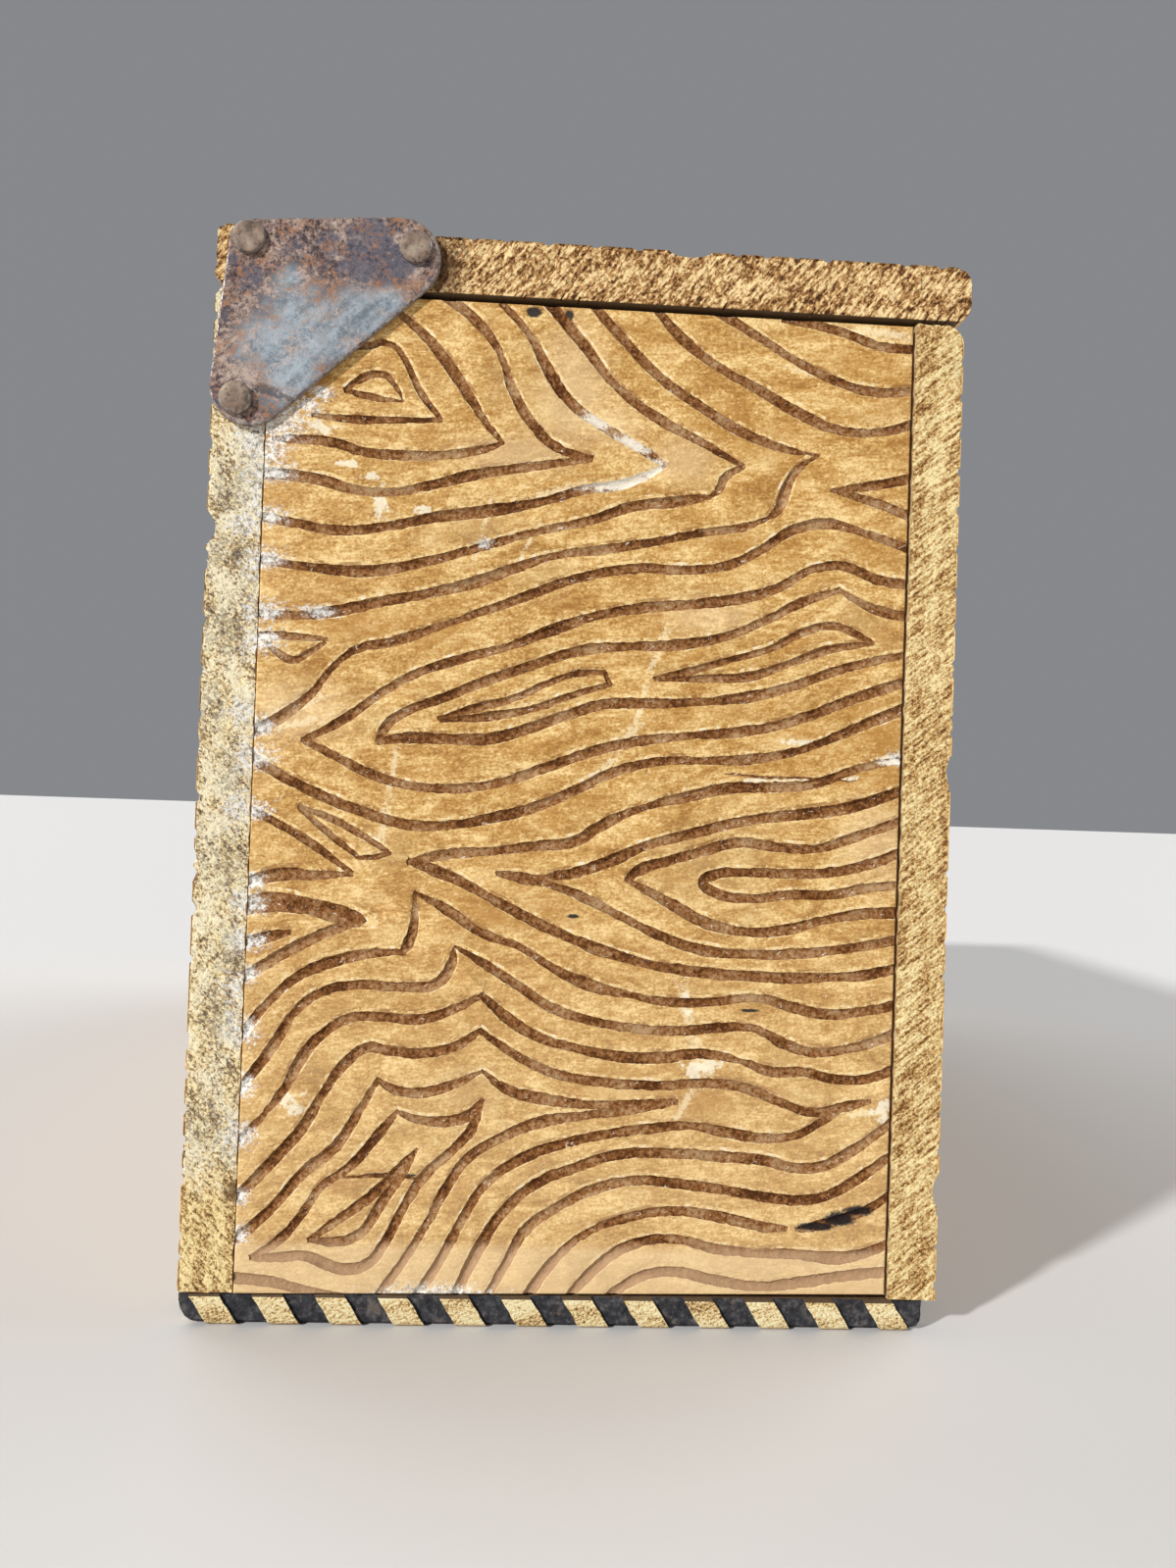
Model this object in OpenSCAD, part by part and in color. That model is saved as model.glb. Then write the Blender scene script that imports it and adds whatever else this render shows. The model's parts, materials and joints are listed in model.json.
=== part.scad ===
// Wooden postcard box: four nailed walls, a thin bottom and a lid that swings on two corner plates.
// Frame: +X along the box, -Y is the front, +Z up. The origin is under the middle of the box.

/* [Cards] */
// Width of the postcards, which stand upright across the box
card_w = 89; // [80:1:120]
// Height of the postcards
card_h = 140; // [110:1:170]
// Sideways play of the cards between the front and back boards
card_play_w = 7; // [3:0.5:15]
// Headroom over the cards, up to the tops of the front and back boards
card_play_h = 6.5; // [3:0.5:20]

/* [Boards] */
// Length of the lid, which is the length of the box
lid_length = 305; // [200:1:450]
// Thickness of the back board
back_thick = 8; // [6.5:0.1:12]
// Thickness of the front board
front_thick = 7.5; // [5:0.1:12]
// Thickness of each end panel
end_thick = 7.5; // [5:0.1:12]
// Thickness of the bottom board
bottom_thick = 4.8; // [3:0.1:9]
// Thickness of the lid
lid_thick = 8.4; // [6:0.1:12]
// How far the lid stands out past the front board, as a finger lip
lid_overhang = 1; // [0.2:0.1:4]
// How far the bottom board stops short of the front board's face
bottom_setback = 1.5; // [0:0.1:2]
// How far the bottom board stops short of the box's ends
bottom_end_setback = 0.4; // [0:0.1:1]
// How far the end panels' tops lie below the tops of the front and back boards
end_drop = 0.5; // [0:0.1:2]

/* [Rounded edges] */
// Radius of the lid's long edges
lid_round = 1.6; // [0.5:0.1:2.5]
// Radius of the back board's top outer edge, which lets the lid swing past
back_round = 2.5; // [1.5:0.1:3]
// Radius of the front board's top outer edge
front_round = 1.5; // [0.5:0.1:2.5]
// Radius of the bottom board's ends at front and back
bottom_round = 1; // [0.3:0.1:1.4]

/* [Fits] */
// Gap between the closed lid and the boards under it
lid_gap = 0.3; // [0.25:0.05:1]
// Gap between the swinging plates and the ends of the walls
plate_clear = 0.15; // [0.1:0.05:0.5]
// Radial gap between a driven nail and its hole
nail_clear = 0.02; // [0.01:0.01:0.05]
// Radial gap between a pivot nail and the plate that turns on it
pivot_clear = 0.06; // [0.02:0.01:0.1]

/* [Corner plates] */
// Thickness of the sheet steel
plate_thick = 0.9; // [0.5:0.1:1.5]
// Distance of the pivot from the back board's outer face
pivot_from_back = 3.9; // [3:0.1:6]
// Distance of the pivot below the lid's underside
pivot_drop = 17.5; // [15:0.5:25]
// Distance of the rear lid nail from the lid's back edge
rear_nail_inset = 5; // [3.5:0.1:9]
// Distance of the front lid nail from the lid's back edge
front_nail_inset = 29; // [20:0.5:40]
// Distance of the lid nails below the lid's top
nail_below_top = 2.4; // [2.2:0.1:3.5]
// Radius of the plate's corner round the rear lid nail
rear_lobe_r = 2.9; // [2.6:0.1:4]
// Radius of the plate's corner below the front lid nail
front_lobe_r = 6.1; // [5:0.1:8]
// How far the middle of that corner lies behind the front lid nail
front_lobe_back = 2.4; // [0:0.1:3]
// How far the middle of that corner lies below the front lid nail
front_lobe_down = 1.6; // [0:0.1:3]
// Radius of the plate's corner at the pivot
pivot_lobe_r = 5.7; // [4.5:0.1:8]
// How far the middle of that corner lies in front of the pivot
pivot_lobe_in = 1.8; // [0:0.1:2.5]
// How far the middle of that corner lies above the pivot
pivot_lobe_up = 2; // [0:0.1:2.5]

/* [Plate nails] */
// Radius of the plate nails' shanks
nail_r = 1.1; // [0.8:0.1:1.4]
// Radius of the plate nails' heads
nail_head_r = 2.4; // [1.9:0.1:2.8]
// Height of the plate nails' domed heads
nail_head_t = 0.9; // [0.5:0.1:1.5]
// Length of the plate nails under the head
nail_len = 17; // [12:0.5:20]

/* [Brads] */
// Radius of the brads' shanks
brad_r = 0.7; // [0.5:0.05:0.9]
// Radius of the brads' heads
brad_head_r = 1.2; // [1:0.05:1.4]
// Height of the brads' heads, which are driven flush
brad_head_t = 0.6; // [0.4:0.1:1]
// Length of the brads under the head
brad_len = 19; // [15:0.5:24]
// Height of the lowest brad in a corner above the bottom board
brad_low = 22; // [12:1:30]
// Distance of the highest brad in a corner below the top of the wall
brad_top = 42; // [36:1:50]
// Number of brads in each upright corner
corner_brads = 3; // [2:1:5]
// Distance of the outermost bottom brads from the box's ends
bottom_brad_margin = 26; // [18:1:40]
// Number of brads along each long edge of the bottom board
edge_brads = 5; // [3:1:8]
// Distance between the two brads under each end panel
end_brad_pitch = 52; // [20:1:70]

/* [Hidden] */
$fn = 48;
arc_steps = 6;
lobe_steps = 16;
dome_step = 15;
// How far a cutting tool starts outside the face that it cuts
cut = 1;
// Length of a nail's or a brad's point
point_len = 2;
// Share of a domed head's height that is its upright rim
rim_share = 0.4;

inner_w = card_w + card_play_w;
wall_h = card_h + card_play_h;
box_length = lid_length - 2 * plate_clear;
lid_w = front_thick + inner_w + back_thick + lid_overhang;

// Places across the box, from back to front
back_y = lid_w / 2;
back_inner_y = back_y - back_thick;
front_inner_y = back_inner_y - inner_w;
front_y = front_inner_y - front_thick;
lid_front_y = -lid_w / 2;
bottom_front_y = front_y + bottom_setback;

// Heights
wall_z = bottom_thick;
wall_top_z = wall_z + wall_h;
end_top_z = wall_top_z - end_drop;
lid_z = wall_top_z + lid_gap;
lid_top_z = lid_z + lid_thick;

// Places along the box
end_x = box_length / 2;
end_mid_x = end_x - end_thick / 2;
lid_end_x = lid_length / 2;
plate_face_x = lid_end_x + plate_thick;

// Hinge plate, in the (Y, Z) plane
pivot = [back_y - pivot_from_back, lid_z - pivot_drop];
rear_nail = [back_y - rear_nail_inset, lid_top_z - nail_below_top];
front_nail = [back_y - front_nail_inset, lid_top_z - nail_below_top];
pivot_lobe = pivot + [-pivot_lobe_in, pivot_lobe_up];
front_lobe = front_nail + [front_lobe_back, -front_lobe_down];

// Brads
corner_brad_zs = [
    for (i = [0 : corner_brads - 1])
        wall_z + brad_low + i * (wall_h - brad_low - brad_top) / (corner_brads - 1)
];
edge_brad_xs = [
    for (i = [0 : edge_brads - 1])
        -end_x + bottom_brad_margin + i * (box_length - 2 * bottom_brad_margin) / (edge_brads - 1)
];
inner_mid_y = (back_inner_y + front_inner_y) / 2;
end_brad_ys = [inner_mid_y - end_brad_pitch / 2, inner_mid_y + end_brad_pitch / 2];

wood = "#c8924a";
pale_wood = "#d8b67c";
steel = "#6b5a52";
brown_steel = "#5a4236";

// Points of an arc about centre c, from angle a0 to a1
function arc(c, r, a0, a1, steps) =
    [for (i = [0 : steps]) c + r * [cos(a0 + (a1 - a0) * i / steps), sin(a0 + (a1 - a0) * i / steps)]];

// A rectangle from corner p to corner q whose corners have the radii given, from low-left round to top-left
function rounded_rect(p, q, r) = concat(
    arc([p.x + r[0], p.y + r[0]], r[0], 180, 270, arc_steps),
    arc([q.x - r[1], p.y + r[1]], r[1], 270, 360, arc_steps),
    arc([q.x - r[2], q.y - r[2]], r[2], 0, 90, arc_steps),
    arc([p.x + r[3], q.y - r[3]], r[3], 90, 180, arc_steps)
);

// Angle of the outward normal of the straight edge that runs from one lobe to the next, anticlockwise
function edge_normal(c0, r0, c1, r1) =
    atan2(c1.y - c0.y, c1.x - c0.x) - 90 + asin((r0 - r1) / norm(c1 - c0));

// Angle a turned forward by whole turns until it is past a0
function past(a, a0) = a < a0 ? past(a + 360, a0) : a - a0 > 360 ? past(a - 360, a0) : a;

// Outline round three lobes, given anticlockwise as centres and radii
function lobed_outline(cs, rs) = [
    for (i = [0 : 2])
        let (
            before = (i + 2) % 3,
            after = (i + 1) % 3,
            a0 = edge_normal(cs[before], rs[before], cs[i], rs[i]),
            a1 = past(edge_normal(cs[i], rs[i], cs[after], rs[after]), a0)
        )
        each arc(cs[i], rs[i], a0, a1, lobe_steps)
];

// A section in the (Y, Z) plane, drawn out along X about the middle
module along_x(length, points) {
    rotate([90, 0, 90]) linear_extrude(length, center = true) polygon(points);
}

// A round hole whose mouth is at the origin and which runs along +Z
module hole(r, depth) {
    translate([0, 0, -cut]) cylinder(r = r, h = depth + cut);
}

// A nail whose head sits on the origin and whose point is along +Z
module driven_nail(r, head_r, head_t, length) {
    rim = head_t * rim_share;
    rotate_extrude() polygon(concat(
        [[0, length], [r, length - point_len], [r, 0], [head_r, 0]],
        [for (a = [0 : dome_step : 90]) [head_r * cos(a), -rim - (head_t - rim) * sin(a)]]
    ));
}

// A brad driven flush: its head's face is on the origin and its point is along +Z
module flush_brad() {
    rotate_extrude() polygon([
        [0, 0], [brad_head_r, 0], [brad_head_r, brad_head_t], [brad_r, brad_head_t],
        [brad_r, brad_head_t + brad_len - point_len], [0, brad_head_t + brad_len]
    ]);
}

// The hole that a flush brad fills
module brad_hole() {
    hole(brad_head_r + nail_clear, brad_head_t);
    hole(brad_r + nail_clear, brad_head_t + brad_len);
}

// Copies at the corner brads of the front or back board, pointing into the end panels
module at_corner_brads(face_y, turn) {
    for (side = [-1, 1], z = corner_brad_zs)
        translate([side * end_mid_x, face_y, z]) rotate([turn, 0, 0]) children();
}

module at_front_brads() { at_corner_brads(front_y, -90) children(); }

module at_back_brads() { at_corner_brads(back_y, 90) children(); }

// Copies at the brads that hold the bottom board to the walls, pointing up
module at_bottom_brads() {
    for (x = edge_brad_xs, y = [front_y + front_thick / 2, back_y - back_thick / 2])
        translate([x, y, 0]) children();
    for (side = [-1, 1], y = end_brad_ys)
        translate([side * end_mid_x, y, 0]) children();
}

// Copies on the outer face of the plate at one end, at a place in the (Y, Z) plane, pointing into the box
module at_plate_face(side, place) {
    translate([side * plate_face_x, place.x, place.y]) rotate([0, -90 * side, 0]) children();
}

module plate_nail() { driven_nail(nail_r, nail_head_r, nail_head_t, nail_len); }

module nail_hole() { hole(nail_r + nail_clear, nail_len); }

module bottom_board() {
    color(pale_wood) difference() {
        along_x(box_length - 2 * bottom_end_setback, rounded_rect(
            [bottom_front_y, 0], [back_y, bottom_thick], [bottom_round, bottom_round, 0, 0]));
        at_bottom_brads() brad_hole();
    }
}

module front_board() {
    color(wood) difference() {
        along_x(box_length, rounded_rect(
            [front_y, wall_z], [front_inner_y, wall_top_z], [0, 0, 0, front_round]));
        at_front_brads() brad_hole();
        at_bottom_brads() brad_hole();
    }
}

module back_board() {
    color(wood) difference() {
        along_x(box_length, rounded_rect(
            [back_inner_y, wall_z], [back_y, wall_top_z], [0, 0, back_round, 0]));
        at_back_brads() brad_hole();
        at_bottom_brads() brad_hole();
        for (side = [-1, 1]) at_plate_face(side, pivot) nail_hole();
    }
}

module end_panel(side) {
    color(wood) difference() {
        translate([side * end_mid_x - end_thick / 2, front_inner_y, wall_z])
            cube([end_thick, inner_w, end_top_z - wall_z]);
        at_front_brads() brad_hole();
        at_back_brads() brad_hole();
        at_bottom_brads() brad_hole();
    }
}

module left_end_panel() { end_panel(-1); }

module right_end_panel() { end_panel(1); }

module lid_board() {
    color(wood) difference() {
        along_x(lid_length, rounded_rect(
            [lid_front_y, lid_z], [back_y, lid_top_z], [lid_round, lid_round, lid_round, lid_round]));
        for (side = [-1, 1], place = [rear_nail, front_nail]) at_plate_face(side, place) nail_hole();
    }
}

module hinge_plate(side) {
    color(steel) difference() {
        translate([side * (lid_end_x + plate_thick / 2), 0, 0])
            along_x(plate_thick, lobed_outline(
                [pivot_lobe, rear_nail, front_lobe],
                [pivot_lobe_r, rear_lobe_r, front_lobe_r]));
        at_plate_face(side, pivot) hole(nail_r + pivot_clear, nail_len);
        for (place = [rear_nail, front_nail]) at_plate_face(side, place) nail_hole();
    }
}

module left_hinge_plate() { hinge_plate(-1); }

module right_hinge_plate() { hinge_plate(1); }

// The pivot nail's head stands clear of the plate, so that the plate can turn
module pivot_nail(side) {
    color(brown_steel) translate([side * plate_clear, 0, 0]) at_plate_face(side, pivot) plate_nail();
}

module left_pivot_nail() { pivot_nail(-1); }

module right_pivot_nail() { pivot_nail(1); }

module lid_nails(side) {
    color(brown_steel) for (place = [rear_nail, front_nail]) at_plate_face(side, place) plate_nail();
}

module left_lid_nails() { lid_nails(-1); }

module right_lid_nails() { lid_nails(1); }

module front_brads() { color(brown_steel) at_front_brads() flush_brad(); }

module back_brads() { color(brown_steel) at_back_brads() flush_brad(); }

module bottom_brads() { color(brown_steel) at_bottom_brads() flush_brad(); }

bottom_board();
front_board();
back_board();
left_end_panel();
right_end_panel();
lid_board();
left_hinge_plate();
right_hinge_plate();
left_pivot_nail();
right_pivot_nail();
left_lid_nails();
right_lid_nails();
front_brads();
back_brads();
bottom_brads();
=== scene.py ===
import json
import math
import random

import bmesh
import bpy
from mathutils import Matrix, Vector, noise

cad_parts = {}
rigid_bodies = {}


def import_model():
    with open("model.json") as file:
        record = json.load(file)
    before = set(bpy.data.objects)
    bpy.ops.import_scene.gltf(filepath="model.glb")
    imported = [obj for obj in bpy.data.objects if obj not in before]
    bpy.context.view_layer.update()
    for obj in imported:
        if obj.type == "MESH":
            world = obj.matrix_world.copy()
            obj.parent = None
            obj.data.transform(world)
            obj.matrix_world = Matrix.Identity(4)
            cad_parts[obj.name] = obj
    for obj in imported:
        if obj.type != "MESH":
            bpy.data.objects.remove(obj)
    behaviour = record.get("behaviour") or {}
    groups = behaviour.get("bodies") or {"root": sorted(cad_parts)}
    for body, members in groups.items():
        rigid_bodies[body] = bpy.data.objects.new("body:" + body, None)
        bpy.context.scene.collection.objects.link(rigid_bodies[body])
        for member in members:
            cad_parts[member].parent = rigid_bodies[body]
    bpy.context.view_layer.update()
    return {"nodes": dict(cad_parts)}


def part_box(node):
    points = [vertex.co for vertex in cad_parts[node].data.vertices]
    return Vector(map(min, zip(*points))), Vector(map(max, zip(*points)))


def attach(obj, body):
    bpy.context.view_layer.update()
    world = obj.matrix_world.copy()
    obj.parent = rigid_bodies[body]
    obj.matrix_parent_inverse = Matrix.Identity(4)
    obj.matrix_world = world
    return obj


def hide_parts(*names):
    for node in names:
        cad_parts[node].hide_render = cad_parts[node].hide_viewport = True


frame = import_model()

mm = 0.001
noiseSeed = 12
noise.seed_set(noiseSeed)  # Blender's vector noise goes by the clock unless it is seeded
nodeBox = {name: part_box(name) for name in frame["nodes"]}
print("frame loaded:", len(nodeBox), "nodes")


# Faces that get carved: each has its own flat frame in millimetres, (across, up, out of the wood)

def faceFrame(origin, across, up):
    axes = Matrix((Vector(across), Vector(up), Vector(across).cross(Vector(up)))).transposed().to_4x4()
    return Matrix.Translation(origin) @ axes @ Matrix.Scale(mm, 4)


def carvedFace(node, corner, across, up):
    pair = nodeBox[node]  # in corner, 0 takes the low side and 1 the high side
    place = faceFrame([pair[side][axis] for axis, side in enumerate(corner)], across, up)
    size = (pair[1] - pair[0]) / mm
    return {"frame": place, "size": (abs(size.dot(Vector(across))), abs(size.dot(Vector(up))))}


faces = {
    "left_end_panel": carvedFace("left_end_panel", (0, 1, 0), (0, -1, 0), (0, 0, 1)),
    "right_end_panel": carvedFace("right_end_panel", (1, 0, 0), (0, 1, 0), (0, 0, 1)),
    "front_board": carvedFace("front_board", (0, 0, 0), (1, 0, 0), (0, 0, 1)),
    "back_board": carvedFace("back_board", (1, 1, 0), (-1, 0, 0), (0, 0, 1)),
    "lid_board": carvedFace("lid_board", (0, 0, 1), (1, 0, 0), (0, 1, 0)),
}


def makePiece(bm, name, skins, holder=None):
    for face in bm.faces:
        face.smooth = True
    mesh = bpy.data.meshes.new(name)
    bm.to_mesh(mesh)
    bm.free()
    for skin in skins:
        mesh.materials.append(skin)
    piece = bpy.data.objects.new(name, mesh)
    (holder or bpy.context.scene.collection).objects.link(piece)
    return piece


def settle(piece, body, node):
    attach(piece, body)
    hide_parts(node)


# Camera, floor and light

camera = {  # the eye's place over the near end panel in millimetres, and its turns in degrees
    "lens": 27.04, "sensor": 36, "nearest": 0.005,
    "across": 39.28, "up": 72.99, "away": 173.43,
    "heading": -93.17, "pitch": 0.776, "roll": 1.95,
}
stage = {
    "floor": 6.0, "colour": (0.66, 0.65, 0.635, 1), "roughness": 0.85,
    "sky": (0.93, 0.95, 1.0, 1), "skyPower": 0.26,
}
suns = {  # where the light comes from, strength, softness in degrees
    "keySun": ((-0.52, 0.60, 0.40), 3.3, 4),
    "frontSun": ((0.35, -0.85, 0.60), 1.5, 50),
    "rearSun": ((0.70, 0.65, 0.70), 1.2, 50),
}


def makeCamera():
    data = bpy.data.cameras.new("photoCamera")
    data.lens = camera["lens"]
    data.sensor_width = camera["sensor"]
    data.clip_start = camera["nearest"]
    eye = bpy.data.objects.new("photoCamera", data)
    bpy.context.scene.collection.objects.link(eye)
    turn = Matrix.Rotation(math.radians(camera["heading"]), 4, "Z")
    turn = turn @ Matrix.Rotation(math.radians(90 + camera["pitch"]), 4, "X")
    turn = turn @ Matrix.Rotation(math.radians(camera["roll"]), 4, "Z")
    place = faces["left_end_panel"]["frame"] @ Vector((camera["across"], camera["up"], camera["away"]))
    eye.matrix_world = Matrix.Translation(place) @ turn
    bpy.context.scene.camera = eye


def makeFloor():
    paint = bpy.data.materials.new("paleFloor")
    paint.use_nodes = True
    shader = paint.node_tree.nodes["Principled BSDF"]
    shader.inputs["Base Color"].default_value = stage["colour"]
    shader.inputs["Roughness"].default_value = stage["roughness"]
    bm = bmesh.new()
    bmesh.ops.create_grid(bm, x_segments=2, y_segments=2, size=stage["floor"])
    makePiece(bm, "floor", [paint])


def makeLight():
    world = bpy.data.worlds.new("studio")
    world.use_nodes = True
    sky = world.node_tree.nodes["Background"]
    sky.inputs["Color"].default_value = stage["sky"]
    sky.inputs["Strength"].default_value = stage["skyPower"]
    bpy.context.scene.world = world
    for name, (place, power, soft) in suns.items():
        data = bpy.data.lights.new(name, "SUN")
        data.energy = power
        data.angle = math.radians(soft)
        lamp = bpy.data.objects.new(name, data)
        lamp.rotation_euler = (-Vector(place)).to_track_quat("-Z", "Y").to_euler()
        bpy.context.scene.collection.objects.link(lamp)
    bpy.context.scene.view_settings.view_transform = "Standard"


makeCamera()
makeFloor()
makeLight()
print("camera, floor and lamps set")


# Paint: one material, whose places are in millimetres; each helper adds a node or two and returns the output

class Paint:
    def __init__(self, name, face=None):
        self.material = bpy.data.materials.new(name)
        self.material.use_nodes = True
        self.tree = self.material.node_tree
        own = faces[face]["frame"] if face else Matrix.Scale(mm, 4)
        spot = self.add("ShaderNodeMapping")
        spot.vector_type = "TEXTURE"  # gives the place in the face's own frame
        spot.inputs["Location"].default_value = own.translation
        spot.inputs["Rotation"].default_value = own.to_3x3().normalized().to_euler()
        spot.inputs["Scale"].default_value = (mm, mm, mm)
        self.feed(spot.inputs["Vector"], self.add("ShaderNodeTexCoord").outputs["Object"])
        self.place = spot.outputs["Vector"]

    def add(self, kind):
        return self.tree.nodes.new(kind)

    def feed(self, socket, value):
        if isinstance(value, bpy.types.NodeSocket):
            self.tree.links.new(value, socket)
        else:
            socket.default_value = value

    def noise(self, size, turn=0, detail=3.0, rough=0.55, bend=0.0):
        spot = self.add("ShaderNodeMapping")
        spot.vector_type = "TEXTURE"  # turns before it stretches
        spot.inputs["Scale"].default_value = size if isinstance(size, tuple) else (size, size, size)
        spot.inputs["Rotation"].default_value = (0, 0, math.radians(turn))
        self.feed(spot.inputs["Vector"], self.place)
        node = self.add("ShaderNodeTexNoise")
        self.feed(node.inputs["Vector"], spot.outputs["Vector"])
        values = {"Scale": 1.0, "Detail": detail, "Roughness": rough, "Distortion": bend}
        for name, value in values.items():
            node.inputs[name].default_value = value
        return node.outputs["Fac"]

    def noises(self, rows, turn=0):
        return {name: self.noise(**{"turn": turn, **row}) for name, row in rows.items()}

    def ramp(self, fac, stops):
        node = self.add("ShaderNodeValToRGB")
        while len(node.color_ramp.elements) < len(stops):
            node.color_ramp.elements.new(0.5)
        for element, (place, colour) in zip(node.color_ramp.elements, stops):
            element.position = place
            element.color = (*colour, 1)
        self.feed(node.inputs["Fac"], fac)
        return node.outputs["Color"]

    def shades(self, fac, look):
        return self.ramp(fac, [(place, look[key]) for place, key in look["shades"]])

    def mix(self, fac, a, b):
        node = self.add("ShaderNodeMix")
        node.data_type = "RGBA"
        for socket, value in zip((node.inputs[0], node.inputs[6], node.inputs[7]), (fac, a, b)):
            self.feed(socket, (*value, 1) if isinstance(value, tuple) else value)
        return node.outputs[2]

    def covers(self, colour, rows):
        for mask, cover in rows:
            colour = self.mix(mask, colour, cover)
        return colour

    def layers(self, colour, look, maps, rows):
        for name, low, high, most, key in rows:
            colour = self.mix(self.step(maps[name], low, high, most), colour, look[key])
        return colour

    def calc(self, action, a, b=0.0):
        node = self.add("ShaderNodeMath")
        node.operation = action
        self.feed(node.inputs[0], a)
        self.feed(node.inputs[1], b)
        return node.outputs[0]

    def times(self, value, share):
        return self.calc("MULTIPLY", value, share)

    def weigh(self, maps, shares):
        total = None
        for name, share in shares.items():
            part = self.times(maps[name], share)
            total = self.calc("ADD", total, part) if total else part
        return total

    def centred(self, value, gain):
        return self.times(self.calc("SUBTRACT", value, 0.5), gain)

    def step(self, value, low, high, most=1.0):
        node = self.add("ShaderNodeMapRange")
        node.interpolation_type = "SMOOTHSTEP"
        for name, number in (("From Min", low), ("From Max", high), ("To Max", most)):
            node.inputs[name].default_value = number
        self.feed(node.inputs["Value"], value)
        return node.outputs["Result"]

    def vector(self, action, a, b, output="Vector"):
        node = self.add("ShaderNodeVectorMath")
        node.operation = action
        self.feed(node.inputs[0], a)
        self.feed(node.inputs[1], b)
        return node.outputs[output]

    def along(self, axis, place=None):
        return self.vector("DOT_PRODUCT", place or self.place, axis, "Value")

    def spots(self, marks, ragged, feather=0.4, most=1.0):
        total = None
        for centre, radii in marks:
            offset = self.vector("SUBTRACT", self.place, (*centre, 0))
            offset = self.vector("MULTIPLY", offset, (1 / radii[0], 1 / radii[1], 0))
            reach = self.calc("ADD", self.vector("LENGTH", offset, (0, 0, 0), "Value"), ragged)
            mask = self.step(reach, 1 + feather, 1 - feather, most)
            total = self.calc("MAXIMUM", total, mask) if total else mask
        return total

    def lines(self, marks, ragged, most=1.0, outer=1.25, inner=0.7):
        total = None
        for start, end, width in marks:
            run = Vector((*end, 0)) - Vector((*start, 0))
            square = Vector((-run.y, run.x, 0)) / run.length / (width / 2)
            offset = self.vector("SUBTRACT", self.place, (*start, 0))
            side = self.calc("ABSOLUTE", self.along(square, offset))
            share = self.along(run / run.length_squared, offset)  # 0 at the start and 1 at the end
            past = self.calc("ABSOLUTE", self.calc("SUBTRACT", share, 0.5))
            reach = self.calc("MAXIMUM", side, self.times(past, 2.0))
            mask = self.step(self.calc("ADD", reach, ragged), outer, inner, most)
            total = self.calc("MAXIMUM", total, mask) if total else mask
        return total

    def finish(self, colour, roughness, bumps, metallic=0.0, specular=0.28):
        shader = self.tree.nodes["Principled BSDF"]
        self.feed(shader.inputs["Base Color"], colour)
        self.feed(shader.inputs["Roughness"], roughness)
        self.feed(shader.inputs["Metallic"], metallic)
        shader.inputs["Specular IOR Level"].default_value = specular
        normal = None
        for height, strength, depth in bumps:  # depth in millimetres
            node = self.add("ShaderNodeBump")
            node.inputs["Strength"].default_value = strength
            node.inputs["Distance"].default_value = depth * mm
            self.feed(node.inputs["Height"], height)
            if normal:
                self.feed(node.inputs["Normal"], normal)
            normal = node.outputs["Normal"]
        self.feed(shader.inputs["Normal"], normal)
        return self.material


# Marks on the end that shows: spots are (across, up) and half sizes, smears are start, end and width

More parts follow.
